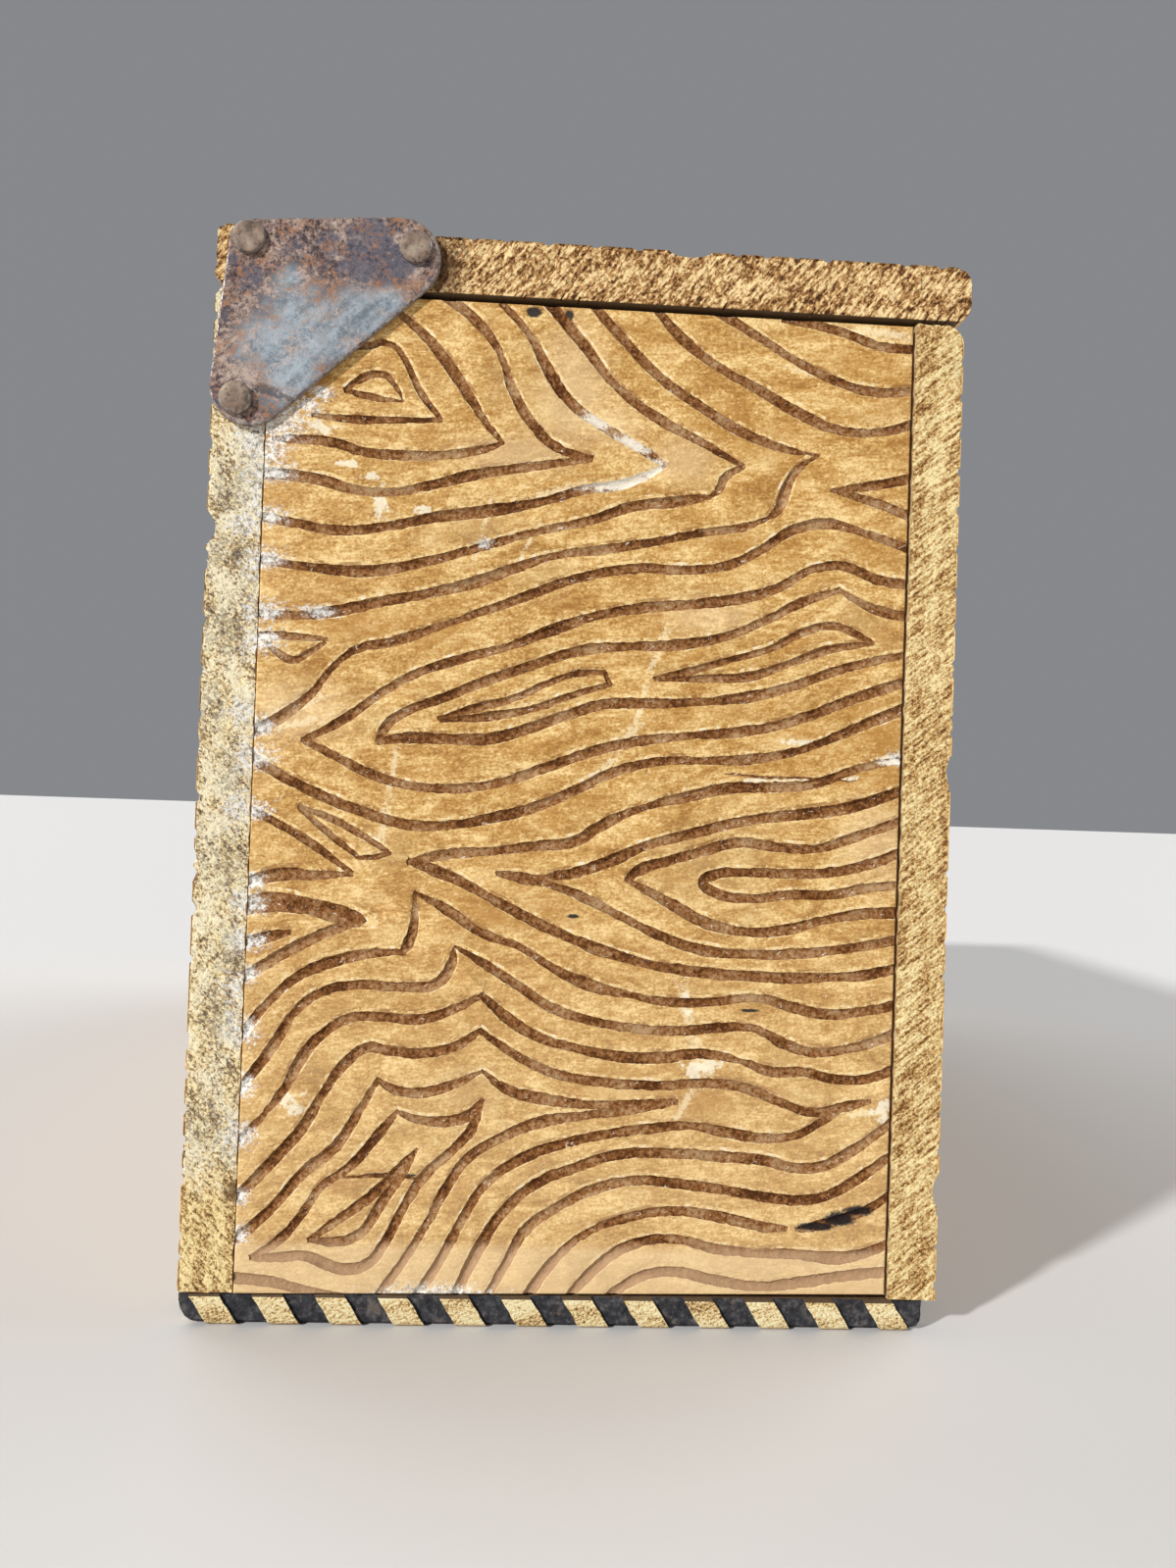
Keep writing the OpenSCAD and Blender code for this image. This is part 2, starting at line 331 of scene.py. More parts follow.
panelMarks = {
    "worn": [((45, 134.5), (4.6, 9)), ((50, 128.8), (5, 3)), ((61.3, 123.8), (4.6, 3.4)),
             ((6, 84.5), (8, 4)), ((36, 123.5), (8, 2.5)), ((92, 68), (5, 6)), ((66, 101), (6, 3))],
    "smears": [((60, 98.5), (58.6, 95.4), 1.0), ((58.4, 94.6), (57.5, 92.5), 0.8),
               ((57, 90), (55.5, 84), 0.7), ((56, 84.5), (53, 80.6), 1.2), ((52.6, 79.4), (50, 76), 1.0),
               ((64, 45.5), (65.2, 40), 1.3), ((65.5, 38.5), (67.5, 33), 1.6), ((66, 31), (63.5, 26), 1.0),
               ((20.6, 78.5), (19.8, 73), 0.8), ((19.6, 71), (18.8, 66), 1.0),
               ((40.2, 113), (38.6, 110), 0.5), ((38, 108.6), (37, 106.6), 0.5),
               ((33.2, 116.6), (32.2, 112.6), 0.5), ((31.8, 111), (31, 107.6), 0.6),
               ((95.2, 144.3), (85.5, 144.9), 1.3), ((86.5, 136.6), (77.5, 138.4), 0.5),
               ((93.5, 28), (89.5, 27.4), 0.9), ((8.5, 86.5), (2, 83.6), 1.3), ((9, 83.2), (3, 82), 0.9),
               ((46, 119.5), (40, 117.6), 0.8)],
    "flakes": [((81, 82.6), (2.6, 0.4)), ((94.6, 28), (1.2, 1.7)), ((67.6, 34.4), (2.4, 0.9)),
               ((66.4, 33.2), (1.0, 1.6)), ((7.8, 27.4), (1.6, 1.1)), ((17, 115.4), (1.0, 1.8)),
               ((15.6, 119.2), (0.9, 0.5)), ((93.6, 80.7), (2.0, 0.4)), ((8.5, 126), (1.6, 0.7)),
               ((12, 121), (1.2, 0.4)), ((64.4, 43.5), (0.7, 1.6)), ((23.5, 114.6), (1.4, 0.5)),
               ((79.6, 77.1), (3.0, 0.35)), ((86.2, 77.7), (2.0, 0.4)), ((74.5, 76.7), (2.2, 0.3))],
    "burns": [((84.8, 10.8), (3.0, 0.6)), ((88.4, 12.0), (2.4, 1.1)), ((91.2, 13.2), (2.2, 0.8))],
    "singes": [((47.3, 55.8), (0.9, 0.3)), ((74, 42.6), (1.4, 0.25)), ((22, 17.4), (4, 0.35)),
               ((38.5, 144.8), (1.2, 0.8)), ((43.8, 144.6), (0.7, 0.8))],
    "chalk": [((0.8, 126.4), (4.2, 2.6)), ((2.4, 128.6), (2.6, 1.6)), ((5.6, 129.2), (2.0, 1.2)),
              ((8.0, 131.2), (1.6, 0.9)), ((0.4, 122.4), (2.4, 2.4)), ((0.6, 119.4), (3.0, 1.5)),
              ((0.5, 112.8), (2.7, 1.2)), ((0.5, 106.6), (2.6, 1.3)), ((0.6, 99), (2.7, 1.3)),
              ((8.6, 99.2), (2.2, 0.8)), ((0.6, 94.6), (2.4, 1.5)), ((0.5, 82), (2.0, 1.3)),
              ((0.5, 77.6), (2.3, 1.4)), ((0.4, 70), (2.0, 1.2)), ((0.3, 59.6), (1.8, 1.1)),
              ((0.4, 56.4), (2.0, 1.2)), ((0.4, 50.8), (2.0, 1.1)), ((0.4, 46), (1.4, 1.2)),
              ((0.5, 38), (1.6, 1.6)), ((0.4, 30), (1.4, 1.4)), ((0.5, 22.8), (1.7, 1.5)),
              ((0.3, 14), (1.2, 1.2)), ((0.4, 8.6), (1.4, 1.2)), ((29, 0.3), (7, 1.1)),
              ((95.2, 80.8), (1.2, 0.8)), ((32.4, 110.2), (1.0, 0.7))],
    "fill": [((51, 120.3), (6.5, 1.5)), ((56.6, 122.2), (2.4, 1.8)), ((53.6, 126), (3.6, 1.4)),
             ((48.5, 129.2), (2.6, 1.3)), ((94.4, 80.1), (2.2, 0.45))],
    "paleFoot": 7.2,  # the varnish stops short of the foot
}


def crumbs(paint):
    return paint.centred(paint.noise(0.8, detail=5, rough=0.85), 8.0)


def crumbMask(paint, marks, ragged, most, share=0.44):
    grains = paint.noise(0.6, detail=3, rough=0.8)
    mask = paint.spots(marks, ragged, most=most)
    return paint.times(mask, paint.step(grains, share - 0.05, share + 0.05))


def chalkDust(paint):
    grains = paint.noise(0.75, detail=4, rough=0.8)
    return paint.ramp(grains,
                      [(0.38, (0.20, 0.17, 0.14)), (0.465, (0.60, 0.55, 0.48)), (0.53, (0.97, 0.94, 0.87))])


def footMask(paint, rise, most):
    limit = panelMarks["paleFoot"]
    return paint.step(rise, limit + 1.2, limit - 1.0, most)


# Looks: noise sizes are in millimetres; a layer is its noise, start, full place, strength and colour;
# a bump is its noise, strength and depth in millimetres

carvedLook = {
    "deep": (0.375, 0.172, 0.036), "honey": (0.600, 0.340, 0.098), "pale": (0.95, 0.69, 0.315),
    "amber": (0.46, 0.215, 0.040), "ash": (0.57, 0.375, 0.165), "bare": (0.86, 0.635, 0.355),
    # the flaked colour serves real flaked varnish and painted glints of the varnish
    "scuffed": (0.96, 0.80, 0.50), "flakedAndGlints": (0.97, 0.90, 0.69), "burnt": (0.012, 0.012, 0.015),
    "scorched": (0.30, 0.125, 0.030),
    "noises": {
        "fibre": {"size": (3.0, 0.5, 0.8), "detail": 4, "rough": 0.62, "bend": 0.3},
        "patch": {"size": (8, 4, 5), "detail": 4, "rough": 0.65, "bend": 0.6},
        "mottle": {"size": (1.2, 0.8, 0.9), "detail": 4, "rough": 0.72},
        "speck": {"size": (0.45, 0.34, 0.34), "detail": 2, "rough": 0.6},
        "cloud": {"size": (30, 17, 20), "detail": 4, "rough": 0.62},
        "scuff": {"size": (2.6, 0.75, 1), "turn": 63, "detail": 4, "rough": 0.7},
        "cross": {"size": (2.2, 0.5, 1), "turn": -28, "detail": 4, "rough": 0.7},
    },
    "tone": {"fibre": 0.13, "mottle": 0.28, "speck": 0.24, "patch": 0.35},
    "shades": [(0.42, "deep"), (0.495, "honey"), (0.585, "pale")],
    "layers": [
        ("cloud", 0.50, 0.70, 0.60, "amber"), ("cloud", 0.46, 0.30, 0.40, "ash"),
        ("scuff", 0.63, 0.73, 0.8, "scuffed"), ("cross", 0.665, 0.75, 0.7, "scuffed"),
        # bright specks: painted glints of the varnish
        ("speck", 0.68, 0.76, 0.8, "flakedAndGlints"),
    ],
    "edgeNoises": {
        "wear": {"size": 5, "detail": 3, "rough": 0.6},
        "nick": {"size": 0.9, "detail": 3, "rough": 0.7},
    },
    "nicksAndHighlights": {"wear": 0.4, "nick": 0.6},
    # a groove's lip: scorched spots, and pale and flaked nicks that are partly chipped varnish, partly a
    # painted highlight
    "edgeLayers": [
        ("wear", 0.50, 0.36, 0.7, "scorched"), ("nicksAndHighlights", 0.465, 0.545, 0.75, "pale"),
        ("nicksAndHighlights", 0.555, 0.625, 0.8, "flakedAndGlints"),
    ],
    "gloss": 0.34, "speckGloss": 0.34, "wornGloss": 0.25,
    "bumps": [("mottle", 0.35, 0.24), ("fibre", 0.5, 0.18), ("speck", 0.5, 0.12)],
}


def carvedWood(name, face, tilt, marked=False, edge=False):
    look = carvedLook
    paint = Paint(name, face)
    maps = paint.noises(look["noises"], tilt)
    colour = paint.shades(paint.weigh(maps, look["tone"]), look)
    colour = paint.layers(colour, look, maps, look["layers"])
    gloss = paint.calc("ADD", look["gloss"], paint.times(maps["speck"], look["speckGloss"]))
    if edge:
        maps.update(paint.noises(look["edgeNoises"]))
        maps["nicksAndHighlights"] = paint.weigh(maps, look["nicksAndHighlights"])
        colour = paint.layers(colour, look, maps, look["edgeLayers"])
    if marked:
        colour, gloss = wearPanel(paint, look, colour, gloss)
    return paint.finish(colour, gloss,
                        [(maps[key], strength, depth) for key, strength, depth in look["bumps"]])


def wearPanel(paint, look, colour, gloss):
    ragged = crumbs(paint)
    torn = paint.centred(paint.noise(1.5, detail=4, rough=0.65), 6.0)
    rise = paint.calc("ADD", paint.along((0, 1, 0)), paint.times(ragged, 0.25))
    foot = footMask(paint, rise, 0.58)
    palerTowardsFoot = paint.step(rise, 75, 10, 0.22)  # paler towards the foot
    worn = paint.spots(panelMarks["worn"], paint.times(ragged, 0.4), 0.7, 0.42)
    smear = paint.lines(panelMarks["smears"], ragged, 0.62)
    flake = paint.spots(panelMarks["flakes"], torn, 0.3, 0.72)
    chalk = crumbMask(paint, panelMarks["chalk"], ragged, 0.95, 0.42)
    burns = panelMarks["burns"] + panelMarks["singes"]
    burn = paint.spots(burns, paint.times(ragged, 0.2), 0.25, 0.96)
    colour = paint.covers(colour, [
        (paint.calc("MAXIMUM", worn, palerTowardsFoot), look["bare"]), (foot, look["bare"]), (smear, look["scuffed"]),
        (flake, look["flakedAndGlints"]), (chalk, chalkDust(paint)), (burn, look["burnt"])])
    dull = paint.times(paint.calc("MAXIMUM", smear, foot), look["wornGloss"])
    return colour, paint.calc("ADD", gloss, dull)


grooveLook = {
    "dark": (0.096, 0.032, 0.008), "brown": (0.280, 0.113, 0.032), "grey": (0.48, 0.305, 0.155),
    "fleck": (0.92, 0.84, 0.70), "bare": (0.54, 0.345, 0.195), "soot": (0.012, 0.011, 0.012),
    "noises": {
        "patch": {"size": (8, 6, 6), "detail": 3, "rough": 0.6},
        "grit": {"size": 0.62, "detail": 4, "rough": 0.75},
        "fleck": {"size": (1.0, 0.5, 0.7), "turn": 25, "detail": 2, "rough": 0.6, "bend": 1.5},
    },
    "tone": {"grit": 0.55, "patch": 0.45},
    "shades": [(0.42, "dark"), (0.495, "brown"), (0.60, "grey")],
    # light flecks in the groove: partly pale fibres, partly painted glints
    "layers": [("depth", 0.24, 0.0, 0.45, "dark"), ("fleck", 0.665, 0.73, 0.85, "fleck")],
    "roughness": 0.66, "specular": 0.10,
    "bumps": [("grit", 0.8, 0.34), ("fleck", 0.5, 0.14)],
}


def burntGroove(name, face, marked=False):
    look = grooveLook
    paint = Paint(name, face)
    maps = paint.noises(look["noises"])
    colour = paint.shades(paint.weigh(maps, look["tone"]), look)
    maps["depth"] = paint.calc("ADD", paint.along((0, 0, -1)), paint.centred(maps["grit"], 0.6))
    colour = paint.layers(colour, look, maps, look["layers"])
    if marked:
        ragged = crumbs(paint)
        foot = footMask(paint, paint.along((0, 1, 0)), 0.78)
        soot = paint.spots(panelMarks["burns"], paint.times(ragged, 0.2), 0.3, 0.96)
        chalk = paint.spots(panelMarks["chalk"], paint.times(ragged, 0.6), 0.4, 0.95)
        fill = paint.spots(panelMarks["fill"], paint.times(ragged, 0.5), 0.35, 0.92)
        colour = paint.covers(colour, [
            (foot, look["bare"]), (soot, look["soot"]), (chalk, chalkDust(paint)), (fill, look["fleck"])])
    bumps = [(maps[key], strength, depth) for key, strength, depth in look["bumps"]]
    return paint.finish(colour, look["roughness"], bumps, specular=look["specular"])


endLook = {  # what the sawn ends share: grit, growth rings, dust from and to a height, burnt spots; the lid's spot is partly the plate's painted shadow
    "grit": (0.46, 0.38, 0.4), "ring": (3, 22, 9), "ringTurn": 0, "dust": None, "burns": [],
}
frontEnd = {
    **endLook, "pit": (0.17, 0.060, 0.012), "body": (0.61, 0.360, 0.122), "lit": (1.0, 0.83, 0.43),
    "shades": [(0.425, "pit"), (0.485, "body"), (0.555, "lit")],
    "saw": 0.40, "sawTurn": 40, "sawSize": (4.5, 0.62, 1.5),
}
backEnd = {
    **endLook, "pit": (0.12, 0.055, 0.018), "body": (0.57, 0.345, 0.118), "lit": (1.0, 0.81, 0.41),
    "shades": [(0.435, "pit"), (0.485, "body"), (0.545, "lit")],
    "saw": 0.34, "sawTurn": -46, "sawSize": (3.0, 0.55, 1.5),
    "dust": (13, 20), "burns": [((-0.6, 14.6), (1.2, 1.4))],
    "pale": (1.0, 0.90, 0.63), "grimeAndPaintedShade": (0.17, 0.145, 0.115),
    "greys": [((-4, 116), (2.4, 3.4)), ((-5.6, 107.6), (2.2, 2.4)), ((-4.6, 96), (2.6, 3.6)),
              ((-6, 84.7), (2.2, 2.6)), ((-3, 75), (2.2, 4)), ((-3.6, 62), (2.4, 4)), ((-2, 50), (1.8, 4)),
              ((-3.2, 40), (2.4, 3)), ((-4, 24), (2.6, 3.4)), ((-1.6, 20), (1.8, 2)),
              ((-0.8, 102), (1.6, 3)), ((-2.4, 118.4), (2.2, 2.4))],
    "whites": [((-1.4, 124), (2.4, 4)), ((-0.8, 117), (1.8, 4.4)), ((-2.4, 111.6), (2.0, 1.8)),
               ((-0.6, 127.4), (3.2, 1.8)), ((-0.8, 106), (1.4, 2)), ((-0.6, 99), (1.4, 1.8)),
               ((-0.6, 94), (1.4, 1.8)), ((-1.4, 84), (1.8, 2)), ((-1, 78), (1.6, 2.4)),
               ((-2, 70), (2.2, 1.8)), ((-0.8, 56.6), (1.6, 1.8)), ((-0.6, 50.6), (1.4, 1.6)),
               ((-1, 44), (1.6, 2)), ((-0.8, 38), (1.4, 2)), ((-0.6, 23), (1.4, 1.8))],
}
lidEnd = {
    **endLook, "pit": (0.060, 0.019, 0.004), "body": (0.43, 0.205, 0.058), "lit": (0.97, 0.73, 0.37),
    "shades": [(0.43, "pit"), (0.487, "body"), (0.555, "lit")],
    "saw": 0.44, "sawTurn": 52, "sawSize": (3.0, 0.75, 1.5), "grit": (0.70, 0.50, 0.5),
    # the burnt spot beside the plate is partly burnt wood, partly the plate's shadow painted in
    "ring": (12, 3.0, 6), "ringTurn": 4, "burns": [((24.5, 150.5), (3.4, 5))],
}
stripEnd = {
    **endLook, "pit": (0.20, 0.090, 0.028), "body": (0.78, 0.540, 0.230), "lit": (1.0, 0.90, 0.56),
    "shades": [(0.42, "pit"), (0.485, "body"), (0.55, "lit")],
    "saw": 0.2, "sawTurn": 20, "sawSize": (2.0, 0.5, 1.5), "ring": (14, 3, 9),
}


def endGrain(name, look):
    paint = Paint(name, "left_end_panel")
    maps = {
        "grit": paint.noise(look["grit"], look["sawTurn"], detail=3, rough=0.75),
        "saw": paint.noise(look["sawSize"], look["sawTurn"], detail=4, rough=0.7),
        "ring": paint.noise(look["ring"], look["ringTurn"], detail=4, rough=0.6),
    }
    saw = look["saw"]
    relief = paint.weigh(maps, {"grit": 0.62 - saw / 2, "saw": saw, "ring": 0.38 - saw / 2})
    # the noises that raise the bumps also set the colour: low places take the pit colour, partly dark pores
    # and partly painted shade; high places take the lit colour, a painted highlight
    colour = paint.shades(relief, look)
    if look["dust"]:
        colour = dustEnd(paint, look, maps, colour)
    # burnt spots in the pit colour; the one on the lid's end is partly the plate's painted shadow
    if look["burns"]:
        burn = paint.spots(look["burns"], paint.times(crumbs(paint), 0.5), 0.6, 0.8)
        colour = paint.mix(burn, colour, look["pit"])
    return paint.finish(colour, 0.8, [(maps["saw"], 0.55, 0.34), (maps["grit"], 0.9, 0.36)])


def dustEnd(paint, look, maps, colour):
    ragged = crumbs(paint)
    maps["cloud"] = paint.noise((4, 5.5, 7), detail=5, rough=0.75)
    rise = paint.calc("ADD", paint.along((0, 1, 0)), paint.centred(maps["cloud"], 18))
    span = paint.step(rise, *look["dust"])
    pale = paint.step(paint.weigh(maps, {"cloud": 0.5, "grit": 0.5}), 0.43, 0.56, 0.9)
    grimeAndPaintedShade = paint.step(paint.weigh(maps, {"cloud": 0.6, "grit": 0.4}), 0.465, 0.40, 0.65)
    return paint.covers(colour, [
        (paint.times(span, pale), look["pale"]), (paint.times(span, grimeAndPaintedShade), look["grimeAndPaintedShade"]),
        (crumbMask(paint, look["greys"], ragged, 0.6, 0.49), look["grimeAndPaintedShade"]),
        (crumbMask(paint, look["whites"], ragged, 0.95), chalkDust(paint))])


insideLook = {
    "dark": (0.44, 0.275, 0.125), "body": (0.60, 0.41, 0.21), "pale": (0.70, 0.52, 0.30),
    # the darkest colour here is painted shade, for the dark gap where the lid meets the end panels
    "stain": (0.34, 0.215, 0.105), "hair": (0.26, 0.15, 0.065), "grimeAndPaintedShade": (0.050, 0.028, 0.014),
    "stretch": 18.0, "fibre": 2.2, "hairWidth": 0.38, "stainSize": 34,
    "shades": [(0.30, "dark"), (0.52, "body"), (0.74, "pale")],
    "layers": [("stain", 0.5, 0.72, 0.45, "stain"), ("hair", 0.48, 0.30, 0.55, "hair")],
    "paintedShadeStart": (5, 2.5), "paintedShadeEnd": (1.0, 0.2),  # where the painted shade starts before, and ends past, the line where the end panels meet it
    "roughness": 0.62, "fibreRoughness": 0.2,
}


def bareWood(name, along, paintedShadeFrom=None):
    look = insideLook
    paint = Paint(name)
    run = [look["stretch"] if axis == along else 1.0 for axis in "XYZ"]
    fibre = paint.noise(tuple(look["fibre"] * part for part in run), detail=5, rough=0.6, bend=0.4)
    hair = paint.noise(tuple(look["hairWidth"] * part for part in run), detail=2)
    stain = paint.noise(look["stainSize"], detail=4, rough=0.6)
    colour = paint.layers(paint.shades(fibre, look), look, {"stain": stain, "hair": hair}, look["layers"])
    # painted shade: a dark band near each end, where the lid's underside meets the end panels
    if paintedShadeFrom:
        reach = paint.calc("ABSOLUTE", paint.along((1, 0, 0)))
        frayed = paint.calc("ADD", reach, paint.centred(hair, 2))
        inner = paint.step(reach, *(paintedShadeFrom - before for before in look["paintedShadeStart"]), 0.9)
        outer = paint.step(frayed, *(paintedShadeFrom + past for past in look["paintedShadeEnd"]))
        colour = paint.mix(paint.times(inner, outer), colour, look["grimeAndPaintedShade"])
    roughness = paint.calc("ADD", look["roughness"], paint.times(fibre, look["fibreRoughness"]))
    return paint.finish(colour, roughness, [(fibre, 0.5, 0.15), (hair, 0.5, 0.10)])


charLook = {
    "soot": (0.014, 0.014, 0.017), "coal": (0.040, 0.040, 0.046), "grey": (0.125, 0.118, 0.115),
    "ash": (0.22, 0.17, 0.13),
    "shades": [(0.35, "soot"), (0.52, "coal"), (0.68, "grey")],
    "layers": [("ash", 0.56, 0.72, 0.5, "ash")],
}


def charredWood(name):
    paint = Paint(name)
    crack = paint.noise(1.1, detail=4, rough=0.7)
    ash = paint.noise(3.0, detail=3, rough=0.7)
    colour = paint.layers(paint.shades(crack, charLook), charLook, {"ash": ash}, charLook["layers"])
    return paint.finish(colour, 0.78, [(crack, 0.8, 0.3)])


tinLook = {
    "plum": (0.062, 0.040, 0.040), "brown": (0.250, 0.172, 0.145), "dusty": (0.52, 0.40, 0.33),
    "orange": (0.34, 0.138, 0.046), "pit": (0.030, 0.021, 0.021), "slate": (0.100, 0.097, 0.128),
    "tinDark": (0.185, 0.215, 0.245), "tinLight": (0.40, 0.45, 0.49), "film": (0.27, 0.25, 0.22),
    "shine": (0.66, 0.70, 0.72),
    "noises": {
        "cloud": {"size": 4.2, "detail": 5, "rough": 0.72},
        "grit": {"size": 0.65, "detail": 4, "rough": 0.8},
        "bloom": {"size": 3.2, "detail": 5, "rough": 0.75, "bend": 0.5},
        "slate": {"size": 7.0, "detail": 4, "rough": 0.65},
    },
    "rust": {"cloud": 0.42, "grit": 0.58},
    "shades": [(0.43, "plum"), (0.495, "brown"), (0.58, "dusty")],
    "rustLayers": [("grit", 0.60, 0.72, 0.6, "dusty"), ("grit", 0.44, 0.33, 0.8, "pit")],
    "tin": {"streak": 0.5, "grit": 0.5},
    "tinLayers": [
        ("bloom", 0.50, 0.66, 0.5, "film"), ("grit", 0.62, 0.72, 0.35, "brown"),
        ("scratch", 0.70, 0.76, 0.5, "shine"),
    ],
}
tinMarks = {
    "bright": [((0.5, 136.5), (4, 4.4)), ((4, 133.5), (4.4, 4)), ((8, 139.5), (5.2, 4.4)),
               ((13, 142.4), (4.4, 3.2)), ((3.6, 143), (3.2, 3.6)), ((17, 144.6), (2.8, 1.8)),
               ((3.2, 147), (1.6, 1.6))],
    "slate": [((15.2, 151), (4.2, 4.6)), ((8.4, 152.6), (1.8, 1.6))],
    # the crease lines are painted shade along a hammered fold by the lower nail
    "creaseShade": [((-1.6, 131.4), (2.2, 130.4), 1.5), ((1.6, 130.6), (6, 128.6), 0.8)],
}


def farSide(marks):
    width = faces["right_end_panel"]["size"][0]
    spots = {kind: [((width - u, v), radii) for (u, v), radii in marks[kind]] for kind in ("bright",
                                                                                           "slate")}
    creaseShades = [((width - u, v), (width - endU, endV), wide) for (u, v), (endU, endV),
               wide in marks["creaseShade"]]
    return {**spots, "creaseShade": creaseShades}


def rustedTin(name, face, marks, slope):
    look = tinLook
    paint = Paint(name, face)
    maps = paint.noises(look["noises"])
    maps["streak"] = paint.noise((7, 2.4, 3), slope, detail=4, rough=0.62)
    maps["scratch"] = paint.noise((4.0, 0.16, 0.5), slope - 84, detail=1)
    rust = paint.shades(paint.weigh(maps, look["rust"]), look)
    patch = paint.spots(marks["slate"], paint.centred(maps["slate"], 7), 0.4, 0.85)
    slate = paint.calc("MAXIMUM", paint.step(maps["slate"], 0.53, 0.63, 0.75), patch)
    bloom = paint.times(paint.step(maps["bloom"], 0.47, 0.60, 0.9), paint.step(maps["grit"], 0.46, 0.57))
    rust = paint.covers(rust, [(slate, look["slate"]), (bloom, look["orange"])])
    rust = paint.layers(rust, look, maps, look["rustLayers"])
    tin = paint.ramp(paint.weigh(maps, look["tin"]), [(0.42, look["tinDark"]), (0.57, look["tinLight"])])
    tin = paint.layers(tin, look, maps, look["tinLayers"])
    ragged = paint.calc("SUBTRACT", paint.weigh(maps, {"cloud": 2.6, "grit": 3.0}), 2.8)
    bright = paint.spots(marks["bright"], ragged, 0.7)
    # painted shade along the crease, in the pit colour
    creaseShade = paint.lines(marks["creaseShade"], ragged, 0.6)
    colour = paint.covers(rust, [(bright, tin), (creaseShade, look["pit"])])
    roughness = paint.calc("SUBTRACT", 0.74, paint.times(bright, 0.30))
    dull = paint.calc("SUBTRACT", 1.0, paint.times(bright, 0.85))  # bright tin is smoother
    lumps = paint.times(paint.centred(maps["cloud"], 1), dull)
    grains = paint.times(paint.centred(maps["grit"], 1), dull)
    return paint.finish(colour, roughness, [(lumps, 0.4, 0.34), (grains, 0.7, 0.22)],
                        paint.times(bright, 0.45))


# the rims of the plates and nails: worn metal, with a painted highlight in the bright colour
rimLook = {
    "dark": (0.10, 0.075, 0.068), "grey": (0.27, 0.235, 0.215), "bright": (0.52, 0.50, 0.48),
    "shades": [(0.38, "dark"), (0.52, "grey"), (0.66, "bright")],
}


def wornRimHighlight(name):
    paint = Paint(name)
    grit = paint.noise(0.9, detail=4, rough=0.7)
    metallic = paint.step(grit, 0.45, 0.6, 0.7)
    return paint.finish(paint.shades(grit, rimLook), 0.45, [(grit, 0.6, 0.12)], metallic)


nailLook = {
    "dark": (0.105, 0.075, 0.058), "brown": (0.235, 0.168, 0.124), "dusty": (0.39, 0.305, 0.235),
    "orange": (0.37, 0.185, 0.085), "pit": (0.045, 0.033, 0.030),
    "shades": [(0.34, "dark"), (0.52, "brown"), (0.68, "dusty")],
    "layers": [("grit", 0.56, 0.70, 0.6, "orange"), ("grit", 0.44, 0.30, 0.7, "pit")],
    "metallic": 0.25,
}


def rustedNail(name):
    paint = Paint(name)
    cloud = paint.noise(2.4, detail=4, rough=0.65)
    grit = paint.noise(0.6, detail=3, rough=0.7)
    colour = paint.layers(paint.shades(cloud, nailLook), nailLook, {"grit": grit}, nailLook["layers"])
    roughness = paint.calc("ADD", 0.46, paint.times(grit, 0.3))
    return paint.finish(colour, roughness, [(cloud, 0.3, 0.10), (grit, 0.5, 0.08)], nailLook["metallic"])


paints = {
    "nearPanel": carvedWood("nearPanelWood", "left_end_panel", 4, marked=True),
    "nearEdge": carvedWood("nearPanelGrooveEdge", "left_end_panel", 4, marked=True, edge=True),
    "farPanel": carvedWood("farPanelWood", "right_end_panel", 3),
    "frontWood": carvedWood("frontWood", "front_board", 1),
    "backWood": carvedWood("backWood", "back_board", -1),
    "lidWood": carvedWood("lidWood", "lid_board", 1),
    "nearGroove": burntGroove("nearPanelGroove", "left_end_panel", marked=True),
    "farGroove": burntGroove("farPanelGroove", "right_end_panel"),
    "frontGroove": burntGroove("frontGroove", "front_board"),
    "backGroove": burntGroove("backGroove", "back_board"),
    "lidGroove": burntGroove("lidGroove", "lid_board"),
    "frontEnd": endGrain("frontEndGrain", frontEnd),
    "backEnd": endGrain("backEndGrain", backEnd),
    "lidEnd": endGrain("lidEndGrain", lidEnd),
    "stripEnd": endGrain("bottomEndGrain", stripEnd),
    "insideLong": bareWood("insideLongWood", "X"),
    "insideEnd": bareWood("insideEndWood", "Y"),
    "insideFlat": bareWood("lidUnderWood", "X", 152.6),  # under the lid and on the bottom board, darker near the ends with painted shade
    "char": charredWood("burntStripe"),
    "tin": rustedTin("rustedTinPlate", "left_end_panel", tinMarks, 42),
    "farTin": rustedTin("rustedTinFarPlate", "right_end_panel", farSide(tinMarks), -42),
    "rim": wornRimHighlight("wornPlateRimHighlight"),
    "nail": rustedNail("rustedNailHead"),
}
print("materials made:", len(paints))


# Boards: a block with rounded edges, cut into small cells and later carved

boardShape = {"panelCell": 6, "boardCell": 8, "roundSegments": 4}


def unit(axis):
    return Vector([1.0 if a == axis else 0.0 for a in range(3)])


def sliceUp(bm, low, high, cell, axes):
    for axis in axes:
        count = max(1, round((high[axis] - low[axis]) / (cell * mm)))
        for i in range(1, count):
            bmesh.ops.bisect_plane(bm, geom=bm.verts[:] + bm.edges[:] + bm.faces[:], dist=1e-7,
                                   plane_co=low + (high - low) * (i / count), plane_no=unit(axis))


def boardEdges(bm, low, high, axis, sides):
    picked = []
    for edge in bm.edges:
        run = edge.verts[1].co - edge.verts[0].co
        middle = (edge.verts[0].co + edge.verts[1].co) / 2
        onSides = all(abs(middle[a] - (low, high)[side][a]) < 1e-5 for a, side in sides.items())
        if onSides and (axis is None or abs(run[axis]) > 0.9 * run.length):
            picked.append(edge)
    return picked


